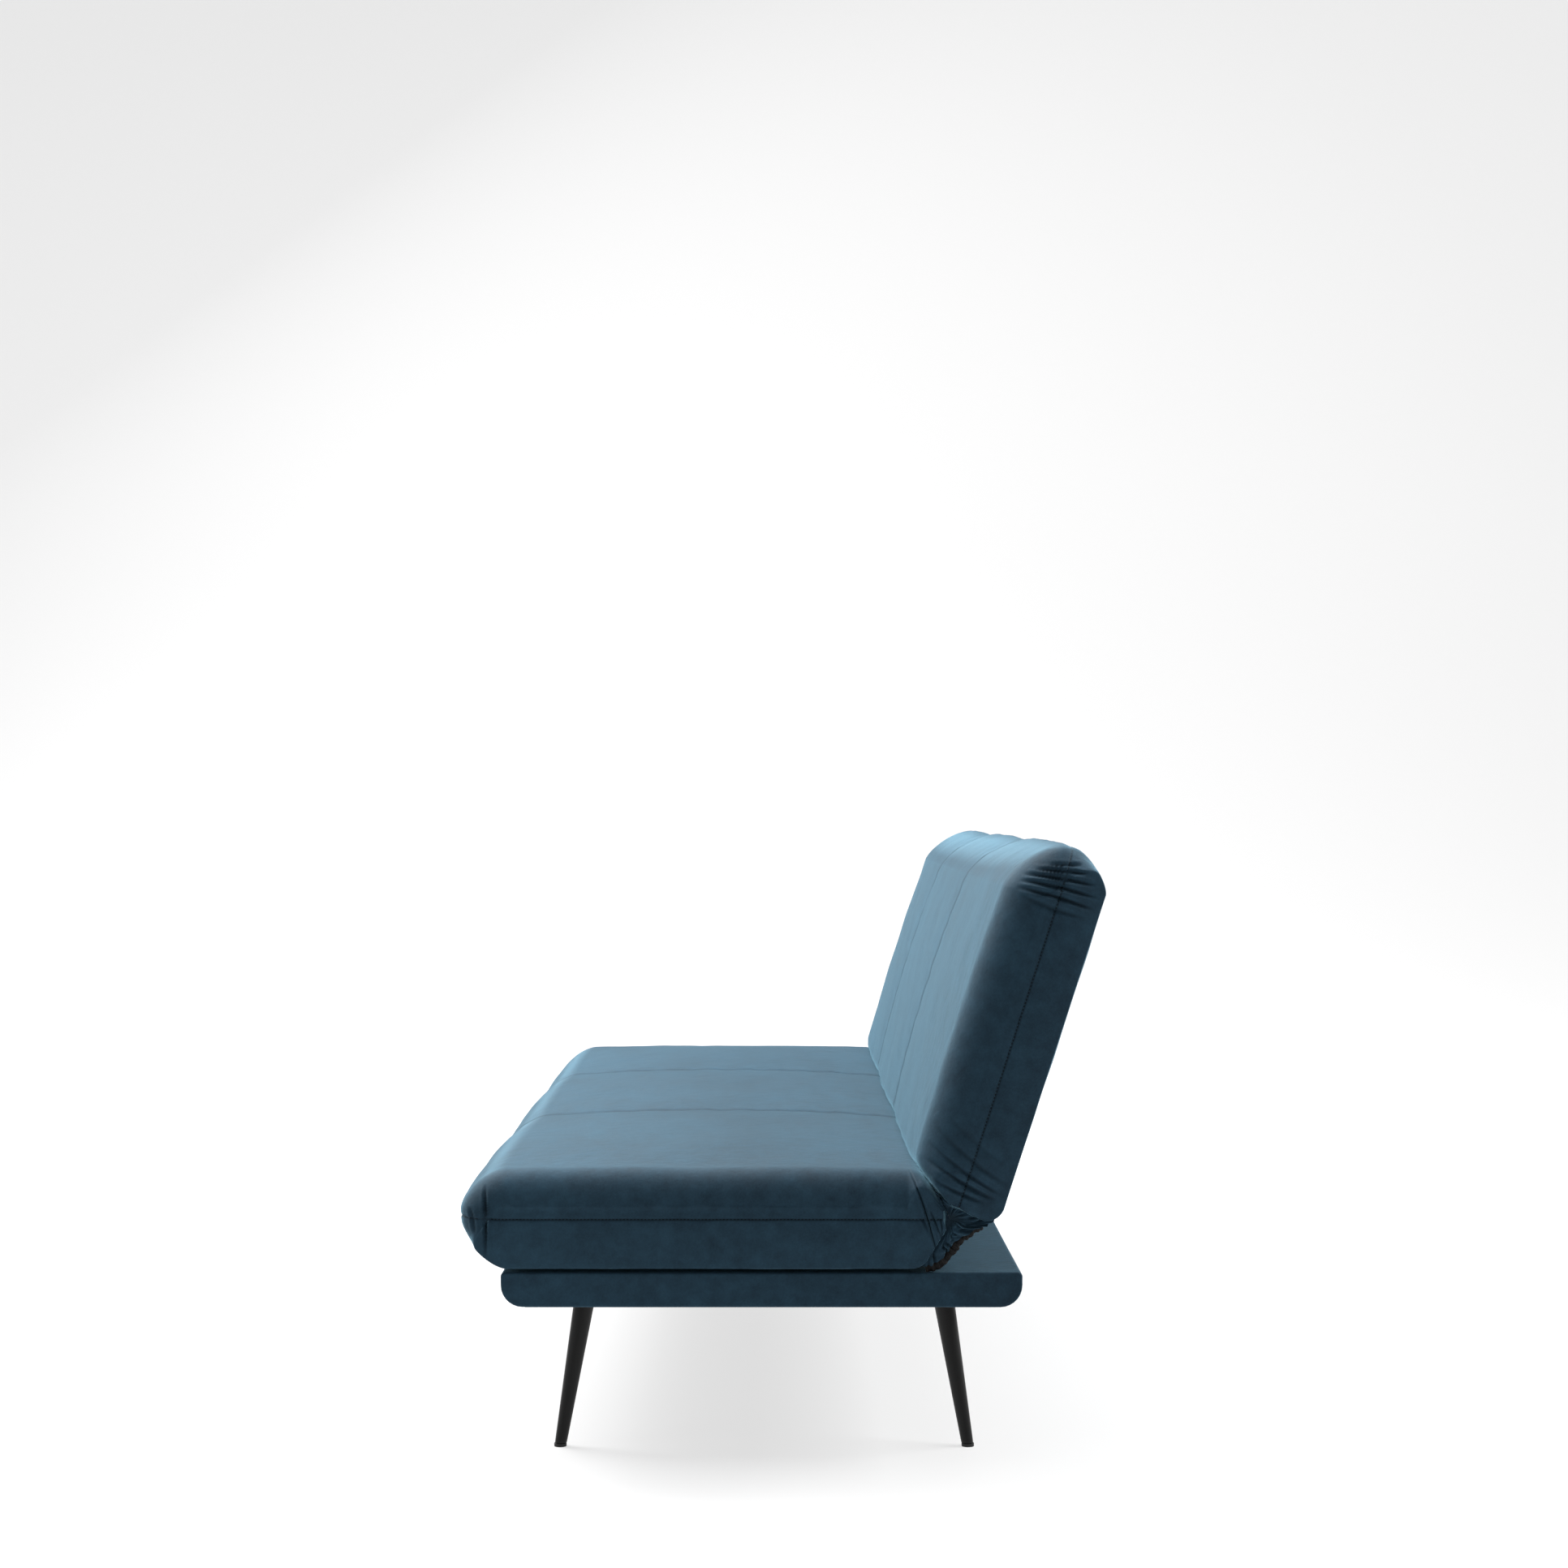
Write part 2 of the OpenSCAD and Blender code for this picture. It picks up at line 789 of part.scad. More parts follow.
module back_long_rail(top) {
    u = top ? frame_u1(BACK) - rail_w : frame_u0(BACK);
    color(timber)
        in_back()
            long_rail(BACK, u);
}

module back_end_rail(side) {
    color(timber)
        in_back()
            at_side(side)
                end_rail(BACK, fit_t + fit_gap);
}

module back_slats() {
    color(timber)
        in_back()
            slats(BACK);
}

module back_slat_caps() {
    color(black)
        in_back()
            slat_caps(BACK);
}

module back_foam() {
    color(foam)
        in_back()
            cushion_foam(BACK);
}

module back_cover(part) {
    color(part > 0 ? velvet : velvet_end)
        in_back()
            cushion_cover(BACK, part);
}

// ---- The sofa ----

base_long_rail(false);  // base_front_rail
base_long_rail(true);  // base_rear_rail
base_end_rail(1);  // base_left_rail
base_end_rail(-1);  // base_right_rail
base_cross_rails();
leg_blocks();
base_deck();
base_cover();
base_dust_cover();
leg_screws();
for (l = LEGS) {
    leg(l);
    leg_plate(l);
    foot_glide(l);
}
glide_strips();
for (s = SIDES) {
    runner_channel(s[1]);
    runner_rail(s[1]);
    seat_plate(s[1]);
    back_plate(s[1]);
    pawl(s[1]);
    seat_end_rail(s[1]);
    back_end_rail(s[1]);
}
seat_long_rail(true);  // seat_front_rail
seat_long_rail(false);  // seat_rear_rail
seat_cross_rails();
seat_slats();
seat_slat_caps();
seat_foam();
seat_cover_top();
seat_cover_bottom();
seat_underside();
seat_plate_bolts();
pivot_bolts();
pawl_pins();
pawl_springs();
crease_gusset();
back_long_rail(true);  // back_top_rail
back_long_rail(false);  // back_bottom_rail
back_slats();
back_slat_caps();
back_foam();
back_cover(1);  // back_cover_front
back_cover(-1);  // back_cover_rear
back_plate_bolts();
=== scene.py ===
import json
import math

import bpy
import numpy as np
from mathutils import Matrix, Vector


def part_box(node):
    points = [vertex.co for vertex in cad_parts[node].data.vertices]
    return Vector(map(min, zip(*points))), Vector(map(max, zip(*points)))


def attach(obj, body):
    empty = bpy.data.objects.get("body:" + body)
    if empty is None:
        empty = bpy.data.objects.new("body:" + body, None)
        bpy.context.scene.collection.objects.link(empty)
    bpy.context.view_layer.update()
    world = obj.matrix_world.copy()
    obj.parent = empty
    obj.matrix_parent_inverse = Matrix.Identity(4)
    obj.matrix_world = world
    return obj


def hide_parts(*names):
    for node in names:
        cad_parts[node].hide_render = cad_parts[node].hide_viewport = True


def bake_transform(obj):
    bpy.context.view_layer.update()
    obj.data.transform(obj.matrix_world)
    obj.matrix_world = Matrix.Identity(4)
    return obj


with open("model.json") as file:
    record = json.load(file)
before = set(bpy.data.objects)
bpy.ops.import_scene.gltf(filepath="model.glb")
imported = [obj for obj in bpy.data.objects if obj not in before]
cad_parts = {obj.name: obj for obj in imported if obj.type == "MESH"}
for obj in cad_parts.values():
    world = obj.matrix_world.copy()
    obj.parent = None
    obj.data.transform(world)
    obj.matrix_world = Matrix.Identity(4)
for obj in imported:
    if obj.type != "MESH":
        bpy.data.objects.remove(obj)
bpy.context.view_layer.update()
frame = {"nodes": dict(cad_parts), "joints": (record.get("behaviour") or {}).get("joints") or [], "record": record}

# ---------------------------------------------------------------- measures
MM = 0.001
RECLINE = next(j for j in frame["joints"] if j["name"] == "back_recline")
HINGE = np.array(RECLINE["pos_m"])
LEAN = math.pi / 2 - math.radians(RECLINE["range_deg"][1])
# Each cushion has its own axes: x along the sofa, u away from the hinge line, v up from
# its seam towards the side that is sat or leant on.
SEAT_AXES = np.array([[1, 0, 0], [0, -1, 0], [0, 0, 1]], float)
BACK_AXES = np.array([[1, 0, 0],
                      [0, math.sin(LEAN), math.cos(LEAN)],
                      [0, -math.cos(LEAN), math.sin(LEAN)]])
SEAM_R = 1.5 * MM


def extent(axes, origin, *nodes):
    """Lowest and highest corner of some nodes, measured in a cushion's own axes."""
    points = np.concatenate([np.array([v.co for v in frame["nodes"][n].data.vertices])
                             for n in nodes])
    local = (points - origin) @ axes.T
    return local.min(0), local.max(0)


SEAT_LOW, SEAT_HIGH = extent(SEAT_AXES, HINGE, "seat_cover_top", "seat_cover_bottom")
BACK_LOW, BACK_HIGH = extent(BACK_AXES, HINGE, "back_cover_front", "back_cover_rear")
BASE_LOW, BASE_HIGH = (np.array(c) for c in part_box("base_cover"))
SOFA_L = SEAT_HIGH[0] - SEAT_LOW[0]


# ---------------------------------------------------------------- small maths
def smooth(low, high, x):
    """0 below low, 1 above high, and a smooth S between them."""
    t = np.clip((x - low) / (high - low), 0, 1)
    return t * t * (3 - 2 * t)


def bell(x, width):
    """A bell curve of height 1 that falls off over width."""
    return np.exp(-(x / width) ** 2)


def graded(low, high, count, start=0.0, end=0.0):
    """count + 1 values from low to high, packed closer at the start or the end by
    that share, as on a quarter sine."""
    t = np.linspace(0, 1, count + 1)
    both = start > 0 and end > 0
    eased = (1 - np.cos(math.pi * t)) / 2 if both else (
        np.sin(math.pi / 2 * t) if end > 0 else 1 - np.cos(math.pi / 2 * t))
    share = max(start, end)
    return low + (high - low) * ((1 - share) * t + share * eased)


def ripples(a, b, wave, seed, count=7):
    """Smooth noise from -1 to 1: a sum of plane sine waves with seeded headings."""
    rng = np.random.default_rng(seed)
    total = np.zeros(np.broadcast(a, b).shape)
    for _ in range(count):
        heading, phase = rng.uniform(0, 2 * math.pi, 2)
        length = wave * rng.uniform(0.7, 1.6)
        total = total + np.sin(2 * math.pi / length * (a * math.cos(heading)
                                                      + b * math.sin(heading)) + phase)
    return total / count * 1.6


def travelled(a, b):
    """Distance from the start of a line, at each of its points (a, b)."""
    return np.concatenate([[0], np.cumsum(np.hypot(np.diff(a), np.diff(b)))])


def eased(at, knots, values, taps):
    """Values read between knots, then averaged over a bell-shaped window of taps points."""
    window = np.hanning(taps) / np.hanning(taps).sum()
    return np.convolve(np.pad(np.interp(at, knots, values), taps // 2, "edge"), window, "valid")


# ---------------------------------------------------------------- mesh making
def grid_faces(rows, columns, offset=0, flip=False):
    """The quads of a grid of rows by columns points, numbered row by row."""
    i = np.arange(rows - 1)[:, None] * columns + np.arange(columns - 1)[None, :] + offset
    quad = np.stack([i, i + columns, i + columns + 1, i + 1], -1).reshape(-1, 4)
    return quad[:, ::-1] if flip else quad


def weld(points, quads):
    """Joins points that share a place, and drops the faces' repeated corners. Returns
    the points left, the faces, and the number that each old point has now."""
    keys = np.round(points / 1e-6).astype(np.int64)
    _, first, number = np.unique(keys, axis=0, return_index=True, return_inverse=True)
    number = number.reshape(-1)
    faces = number[quads]
    bad = (faces == np.roll(faces, 1, axis=1)).any(1)
    whole = faces[~bad].tolist()
    for face in faces[bad].tolist():
        kept = [c for k, c in enumerate(face) if c != face[k - 1]]
        if len(kept) > 2 and len(set(kept)) == len(kept):
            whole.append(kept)
    return points[first], whole, number


def make_mesh(name, points, faces, attributes=None):
    """An object at the origin from an array of points and a list of faces, with
    named numbers on its points."""
    mesh = bpy.data.meshes.new(name)
    mesh.from_pydata(points.tolist(), [], [list(f) for f in faces])
    for key, values in (attributes or {}).items():
        mesh.attributes.new(key, "FLOAT", "POINT").data.foreach_set(
            "value", np.asarray(values, np.float32))
    mesh.update()
    mesh.polygons.foreach_set("use_smooth", [True] * len(mesh.polygons))
    obj = bpy.data.objects.new(name, mesh)
    bpy.context.scene.collection.objects.link(obj)
    return obj


# ---------------------------------------------------------------- materials
class Value:
    """A shader socket that can be used in Python sums."""

    def __init__(self, tree, socket):
        self.tree, self.socket = tree, socket

    def maths(self, operation, *others, swap=False):
        node = self.tree.nodes.new("ShaderNodeMath")
        node.operation = operation
        inputs = [self, *others][::-1] if swap else [self, *others]
        for slot, value in zip(node.inputs, inputs):
            link(self.tree, slot, value)
        return Value(self.tree, node.outputs[0])

    def __add__(self, other): return self.maths("ADD", other)
    def __radd__(self, other): return self.maths("ADD", other)
    def __sub__(self, other): return self.maths("SUBTRACT", other)
    def __rsub__(self, other): return self.maths("SUBTRACT", other, swap=True)
    def __mul__(self, other): return self.maths("MULTIPLY", other)
    def __rmul__(self, other): return self.maths("MULTIPLY", other)

    def sine(self): return self.maths("SINE")
    def clamp(self): return self.maths("MAXIMUM", 0).maths("MINIMUM", 1)
    def above(self, edge): return self.maths("GREATER_THAN", edge)


def link(tree, slot, value):
    """Puts a number, a colour or another node's output into a socket."""
    if isinstance(value, Value):
        tree.links.new(value.socket, slot)
    elif isinstance(value, (tuple, list)) and len(value) == 3 and slot.type == "RGBA":
        slot.default_value = (*value, 1)
    else:
        slot.default_value = value


class Finish:
    """One material under construction, on a Principled shader."""

    def __init__(self, name, **constants):
        self.material = bpy.data.materials.new(name)
        self.material.use_nodes = True
        self.tree = self.material.node_tree
        self.shader = self.tree.nodes["Principled BSDF"]
        for key, value in constants.items():
            link(self.tree, self.shader.inputs[key.replace("_", " ")], value)

    def node(self, kind, settings=None, inputs=None, output=0):
        """A node of that kind, with its settings made before its inputs."""
        made = self.tree.nodes.new("ShaderNode" + kind)
        for key, value in (settings or {}).items():
            setattr(made, key, value)
        for key, value in (inputs or {}).items():
            link(self.tree, made.inputs[key], value)
        return Value(self.tree, made.outputs[output])

    def place(self, scale=(1, 1, 1), turn=(0, 0, 0)):
        """Object coordinates, stretched and turned."""
        where = self.node("TexCoord", output="Object")
        return self.node("Mapping", None, {"Vector": where, "Scale": scale, "Rotation": turn})

    def noise(self, scale, detail=3.0, at=None, rough=0.5):
        """Noise from 0 to 1 with scale lumps to the metre."""
        return self.node("TexNoise", None, {"Vector": at or self.place(), "Scale": scale,
                                            "Detail": detail, "Roughness": rough})

    def read(self, name):
        """A number stored on the piece's points."""
        made = self.tree.nodes.new("ShaderNodeAttribute")
        made.attribute_name = name
        return Value(self.tree, made.outputs["Fac"])

    def blend(self, factor, a, b):
        """Mixes two colours."""
        made = self.tree.nodes.new("ShaderNodeMix")
        made.data_type = "RGBA"
        for slot, value in ((0, factor), (6, a), (7, b)):
            link(self.tree, made.inputs[slot], value)
        return Value(self.tree, made.outputs[2])

    def bump(self, height, distance, strength=1.0, under=None):
        """A bump of that height in metres, over another bump."""
        inputs = {"Height": height, "Distance": distance, "Strength": strength}
        if under:
            inputs["Normal"] = under
        return self.node("Bump", None, inputs)

    def use(self, **sockets):
        """Feeds the shader's own sockets, and returns the material."""
        for key, value in sockets.items():
            link(self.tree, self.shader.inputs[key.replace("_", " ")], value)
        return self.material


def velvet(name, light, dark, sheen):
    """Cut-pile velvet: a deep ground under a pale sheen, brushed into soft patches, with
    fine pile and pressed seams that show their stitches. The seam lines, and the fold grooves
    that share their attribute, are darkened as painted shade."""
    f = Finish(name, Roughness=0.82, Specular_IOR_Level=0.18, Sheen_Weight=sheen,
               Sheen_Roughness=0.34, Sheen_Tint=(0.4, 0.78, 1.0))
    patches = f.noise(3.2, 2.0, f.place((1, 1.6, 1)))
    brushed = f.noise(26.0, 3.0, f.place((0.35, 1.0, 1.0), (0.2, 0.1, 0.5)))
    pile = f.noise(1400.0, 2.0)
    fleck = f.noise(420.0, 1.0)
    crushed = f.noise(48.0, 6.0, None, 0.62)
    nap = (patches * 0.3 + brushed * 0.2 + fleck * 0.14 + crushed * 0.36 - 0.5) * 3.0 + 0.5
    ground = f.blend(nap.clamp(), dark, light)
    seam = f.read("seam")
    along = f.read("along")
    stitch = (along * (2 * math.pi / (4.6 * MM))).sine().above(0.1) * seam.above(0.72)
    # Painted shade: the seam lines and the gathers' grooves are darkened towards near-black.
    shaded = f.blend((seam * 0.8).clamp(), ground, tuple(c * 0.12 for c in dark))
    threaded = f.blend(stitch * 0.55, shaded, tuple(c * 0.9 for c in light))
    crush = f.bump(crushed, 2.2 * MM, 0.5)
    fibre = f.bump(pile, 0.35 * MM, 0.45, crush)
    sewn = f.bump(stitch, 0.5 * MM, 0.6, fibre)
    return f.use(Base_Color=threaded, Roughness=(nap * 0.1 + 0.76), Normal=sewn)


def elastic_cloth():
    """Black ruched elastic: close ribs along its gathers and random lint; the rib crests
    are painted lighter and the troughs darker, as painted highlight and shade.
    """
    f = Finish("ruched_elastic", Specular_IOR_Level=0.25, Sheen_Weight=0.03,
               Sheen_Roughness=0.5)
    ribs = (f.read("along") * (2 * math.pi / (3.1 * MM))).sine() * 0.5 + 0.5
    lint = f.noise(300.0, 3.0)
    # Painted highlight and shade: the colour follows the ribs, lighter on their crests.
    colour = f.blend((ribs * 0.6 + lint * 0.4).clamp(), (0.0015, 0.0015, 0.0016),
                     (0.012, 0.011, 0.011))
    lumps = f.bump(f.noise(160.0, 3.0), 1.0 * MM, 0.6)
    return f.use(Base_Color=colour, Roughness=(lint * 0.2 + 0.68),
                 Normal=f.bump(ribs, 0.5 * MM, 0.7, lumps))


def dust_cloth():
    """Black spun lining: a grid of pressed dimples in matted fibre."""
    f = Finish("spun_lining", Specular_IOR_Level=0.2)
    cells = f.node("TexVoronoi", None, {"Vector": f.place(), "Scale": 520.0})
    fibre = f.noise(900.0, 3.0, f.place((1, 0.25, 1)))
    colour = f.blend((cells * 0.7 + fibre * 0.4).clamp(), (0.006, 0.006, 0.007),
                     (0.03, 0.03, 0.032))
    return f.use(Base_Color=colour, Roughness=(fibre * 0.15 + 0.8),
                 Normal=f.bump(cells, 0.3 * MM, 0.8, f.bump(fibre, 0.2 * MM, 0.5)))


def powder_coat():
    """Satin black powder coat on steel, with orange peel and a few rubbed spots."""
    f = Finish("black_powder_coat", Specular_IOR_Level=0.3)
    peel = f.noise(900.0, 2.0)
    rubbed = (f.noise(34.0, 5.0, None, 0.65) - 0.6) * 6.0
    colour = f.blend(rubbed.clamp() * 0.35, (0.0035, 0.0035, 0.0037), (0.012, 0.012, 0.013))
    return f.use(Base_Color=colour, Roughness=(peel * 0.12 + rubbed.clamp() * 0.1 + 0.4),
                 Normal=f.bump(peel, 0.12 * MM, 0.4))


def moulded_plastic():
    """Moulded black plastic with a fine spark-eroded grain."""
    f = Finish("moulded_black", Specular_IOR_Level=0.4)
    grain = f.noise(1500.0, 3.0)
    scuffs = (f.noise(90.0, 4.0, f.place((1, 1, 0.3))) - 0.58) * 5.0
    colour = f.blend(scuffs.clamp() * 0.5, (0.012, 0.012, 0.013), (0.05, 0.05, 0.052))
    return f.use(Base_Color=colour, Roughness=(grain * 0.12 + 0.5),
                 Normal=f.bump(grain, 0.15 * MM, 0.6))


def zinc_steel():
    """Zinc-plated steel: drawn along its length, with cloudy spangles."""
    f = Finish("zinc_steel", Metallic=1.0)
    drawn = f.noise(240.0, 3.0, f.place((1, 0.06, 1)))
    cloud = f.noise(38.0, 4.0)
    colour = f.blend((cloud * 0.8 + drawn * 0.2).clamp(), (0.36, 0.37, 0.39),
                     (0.62, 0.62, 0.6))
    return f.use(Base_Color=colour, Roughness=(drawn * 0.2 + cloud * 0.12 + 0.22),
                 Normal=f.bump(drawn, 0.1 * MM, 0.5))


def sawn_timber(name, light, dark, scale):
    """Sawn timber: growth rings bent by noise, fine fibre and a few dark streaks."""
    f = Finish(name, Specular_IOR_Level=0.3)
    bend = f.noise(4.0 * scale, 2.0)
    at = f.place((0.5, 9.0, 9.0))
    rings = f.node("TexWave", {"wave_type": "RINGS"}, {"Vector": at, "Scale": 3.0 * scale,
                                                      "Distortion": 5.0, "Detail": 3.0})
    fibre = f.noise(420.0, 3.0, f.place((0.04, 1, 1)))
    mixed = (rings * 0.5 + fibre * 0.35 + bend * 0.25).clamp()
    return f.use(Base_Color=f.blend(mixed, dark, light), Roughness=(fibre * 0.2 + 0.55),
                 Normal=f.bump(fibre, 0.25 * MM, 0.5))


def foam_rubber():
    """Cream open-cell foam with fine pores."""
    f = Finish("open_cell_foam", Specular_IOR_Level=0.1)
    pores = f.node("TexVoronoi", None, {"Vector": f.place(), "Scale": 700.0})
    colour = f.blend(pores.clamp(), (0.45, 0.4, 0.26), (0.82, 0.78, 0.62))
    return f.use(Base_Color=colour, Roughness=(pores * 0.1 + 0.85),
                 Normal=f.bump(pores, 0.5 * MM, 0.7))


VELVET = velvet("blue_velvet", (0.019, 0.053, 0.084), (0.0055, 0.0185, 0.0325), 0.42)
ELASTIC = elastic_cloth()
FINISHES = {
    "velvet": VELVET,
    "gusset": ELASTIC,
    "lining": dust_cloth(),
    "foam": foam_rubber(),
    "timber": sawn_timber("pine", (0.72, 0.52, 0.31), (0.48, 0.30, 0.15), 1.0),
    "slat": sawn_timber("birch", (0.78, 0.62, 0.42), (0.62, 0.45, 0.27), 1.6),
    "leg_paint": powder_coat(),
    "glide_plastic": moulded_plastic(),
    "cap_plastic": moulded_plastic(),
    "zinc_steel": zinc_steel(),
}


def finish_piece(obj, material):
    """Gives a piece its material."""
    obj.data.materials.append(material)
    return obj


def finish_cad_nodes():
    """Every CAD node that still shows takes its slot's finish."""
    for part in frame["record"]["subparts"]:
        slots = frame["nodes"][part["node"]].data.materials
        slots.clear()
        slots.append(FINISHES[part["material_slot"]])


# ---------------------------------------------------------------- cushions
def profile(run, h, bow, power, wedge, nose, count):
    """One side of a cushion's section, from the seam at its far edge to the hinge.

    A quarter of a superellipse, bow long and h high, whose power below 2 points it at the
    seam; then the flat face, a rounding, and the slope of the wedge down to the nose. The
    points along that line are close together near its two ends. Returns u, v and the
    distance along the line. count holds the points in an end and in the middle."""
    wedge_r = 25 * MM
    mid_u = (wedge_r + (h - wedge_r) * math.cos(wedge)) / math.sin(wedge)
    corner = np.linspace(0, math.pi / 2, 60)
    bend = np.linspace(math.pi / 2, math.pi / 2 + wedge, 12)
    u = np.concatenate([run - bow + bow * np.cos(corner) ** (2 / power),
                        mid_u + wedge_r * np.cos(bend), [nose]])
    v = np.concatenate([h * np.sin(corner) ** (2 / power), h - wedge_r + wedge_r * np.sin(bend),
                        [min(nose * math.tan(wedge), 14 * MM)]])
    length = travelled(u, v)
    fine = 112 * MM
    s = np.concatenate([np.linspace(0, fine, count[0], endpoint=False),
                        graded(fine, length[-1] - fine, count[1], 0.5, 0.5)[:-1],
                        np.linspace(length[-1] - fine, length[-1], count[0])])
    return np.interp(s, length, u), np.interp(s, length, v), s


def end_rows(cushion, steps):
    """The rows that close one end, from the end seam out to the flat: for each, its x,
    how far the section is drawn in there, and how far it is squeezed towards the seam."""
    cap, arc = steps
    r, tip = cushion["end_r"], SOFA_L / 2 - cushion["end_puff"]
    turn = np.linspace(math.pi / 2, 0, arc + 1)
    squeeze = np.concatenate([graded(1, 0, cap, start=0.8), np.zeros(arc)])
    x = np.concatenate([np.full(cap, tip), tip - r + r * np.sin(turn)])
    inset = np.concatenate([np.full(cap, r), r - r * np.cos(turn)])
    return x, inset, squeeze


def sheet_rows(cushion, steps, panel_steps):
    """All rows of a cushion's sheet, from the left end seam to the right one."""
    x, inset, squeeze = end_rows(cushion, steps)
    seams = cushion["seams"]
    marks = [x[-1], *sorted((s for s in seams if s > 0), reverse=True), 0.0]
    # The last run is half a panel, and is packed close only where it leaves its seam.
    runs = [graded(a, b, panel_steps, 0.7, 0.7)[1:] if b > 0 else
            graded(a, b, panel_steps // 2, 0.7, 0.0)[1:] for a, b in zip(marks, marks[1:])]
    x = np.concatenate([x, *runs])
    inset = np.concatenate([inset, np.zeros(len(x) - len(inset))])
    squeeze = np.concatenate([squeeze, np.zeros(len(x) - len(squeeze))])
    return (np.concatenate([x, -x[-2::-1]]), np.concatenate([inset, inset[-2::-1]]),
            np.concatenate([squeeze, squeeze[-2::-1]]))


def cushion_sheet(cushion, side, rows, section):
    """Places one sheet of a cushion, the upper (side 1) or the lower (side -1).

    Every point of the section is pushed out from a spine that runs along the seam plane:
    less by the rounding of the ends, more by the puff of its panel between two seams. The
    height is then raised by a crown, a parabola along u that fades to the ends. Near the
    end seams the height is squeezed to nothing and the row bulges outwards instead."""
    x, inset, squeeze = (a[:, None] for a in rows)
    u, v, s = (a[None, :] for a in section)
    k = 0 if side > 0 else 1
    tall, puff, raise_by = cushion["h"][k], cushion["puff"][k], cushion["crown"][k]
    spine = np.clip(u, cushion["spine"][0], cushion["spine"][1])
    far = np.hypot(u - spine, v)
    marks = np.array([-SOFA_L / 2, *cushion["seams"], SOFA_L / 2])
    panel = np.clip(np.searchsorted(marks, x) - 1, 0, len(marks) - 2)
    middle = (marks[panel] + marks[panel + 1]) / 2
    across = np.abs(x - middle) / (marks[panel + 1] - marks[panel]) * 2
    puff = puff * (1 - across ** 2.6)
    # The ends are hardly rounded next to the hinge, nor on the lower sheet.
    crisp = 0.85 * smooth(-62 * MM, -30 * MM, -u)
    if side < 0:
        crisp = np.maximum(crisp, cushion["low_crisp"] * smooth(0, 50 * MM, s))
    inset = inset * (1 - crisp)
    reach = (far - inset + puff * smooth(0, 0.2, v / tall)) / far
    low, high = cushion["crown_span"]
    bow = np.clip(1 - np.abs((u - (low + high) / 2) / (high - low) * 2) ** 2.2, 0, None)
    fade = np.clip(1 - np.abs(x / (SOFA_L / 2)) ** 4, 0, None)
    crown = 1 + raise_by / tall * bow * fade
    new_u = spine + (u - spine) * reach
    new_v = v * reach * crown * (1 - squeeze)
    if side < 0 and "panel" in cushion:
        # A shallow flat is sunk into the underside for the cloth that covers the frame.
        half, panel_low, panel_high, deep = cushion["panel"]
        new_v = new_v - deep * smooth(0, 4 * MM, half - np.abs(x)) * smooth(
            0, 4 * MM, u - panel_low) * smooth(0, 4 * MM, panel_high - u)
    bulge = cushion["end_puff"] * (1 - (1 - squeeze) ** 2.4) * smooth(0, 0.06, s)
    new_x = x + np.sign(x) * bulge
    return np.stack([new_x + 0 * new_u, new_u, side * new_v], -1)


def seam_lines(cushion, side, rows, section, sheet):
    """Distance of each point to its nearest seam, and how far along that seam it is. The
    channels across the cushion are sewn in the upper sheet only."""
    x, _, squeeze = (a[:, None] for a in rows)
    s = section[2][None, :]
    gaps, alongs = [s + 0 * x], [x + 0 * s]
    height = np.abs(sheet[..., 2])
    at_end = squeeze > 0
    gaps.append(np.where(at_end, height, 1.0))
    alongs.append(sheet[..., 1])
    if side > 0:
        for seam in cushion["seams"]:
            gaps.append(np.abs(x - seam) + 0 * s)
            alongs.append(s + 0 * x)
    gaps, alongs = np.array(gaps), np.array(alongs)
    nearest = gaps.argmin(0)[None]
    return (np.take_along_axis(gaps, nearest, 0)[0], np.take_along_axis(alongs, nearest, 0)[0])


def outward(sheet, side):
    """Unit normals of a sheet, from the cross product of its rows and columns."""
    n = np.cross(np.gradient(sheet, axis=0), np.gradient(sheet, axis=1))
    n /= np.linalg.norm(n, axis=-1, keepdims=True) + 1e-12
    return n * (1 if side > 0 else -1)


def cushion_grids(cushion, steps, panel_steps, section_steps):
    """Both sheets of a cushion with the rows and the section that each is made on."""
    rows = sheet_rows(cushion, steps, panel_steps)
    sheets = []
    for k, side in ((0, 1), (1, -1)):
        section = profile(cushion["run"], cushion["h"][k], cushion["bow"][k],
                          cushion["power"][k], cushion["wedge"][k], cushion["nose"], section_steps)
        sheets.append((side, rows, section, cushion_sheet(cushion, side, rows, section)))
    # The lower sheet is drawn over to the upper one's end seam, evenly across the end face.
    upper, lower, squeeze = sheets[0][3], sheets[1][3], rows[2][:, None, None]
    gap = np.where((rows[0] > 0)[:, None, None], upper[0] - lower[0], upper[-1] - lower[-1])
    lower += gap * squeeze
    lower[0], lower[-1], lower[:, 0] = upper[0], upper[-1], upper[:, 0]
    return sheets


def weld_sheets(sheets):
    """One closed mesh from an upper and a lower sheet, and where its points went. The
    nose's open strip between the sheets is closed with one more row of faces."""
    shape = sheets[0].shape[:2]
    points = np.concatenate([s.reshape(-1, 3) for s in sheets])
    count = shape[0] * shape[1]
    upper, lower = grid_faces(*shape, flip=True), grid_faces(*shape, offset=count)
    edge = np.arange(shape[0]) * shape[1] + shape[1] - 1
    strip = np.stack([edge[:-1], edge[:-1] + count, edge[1:] + count, edge[1:]], -1)[:, ::-1]
    return weld(points, np.concatenate([upper, lower, strip]))


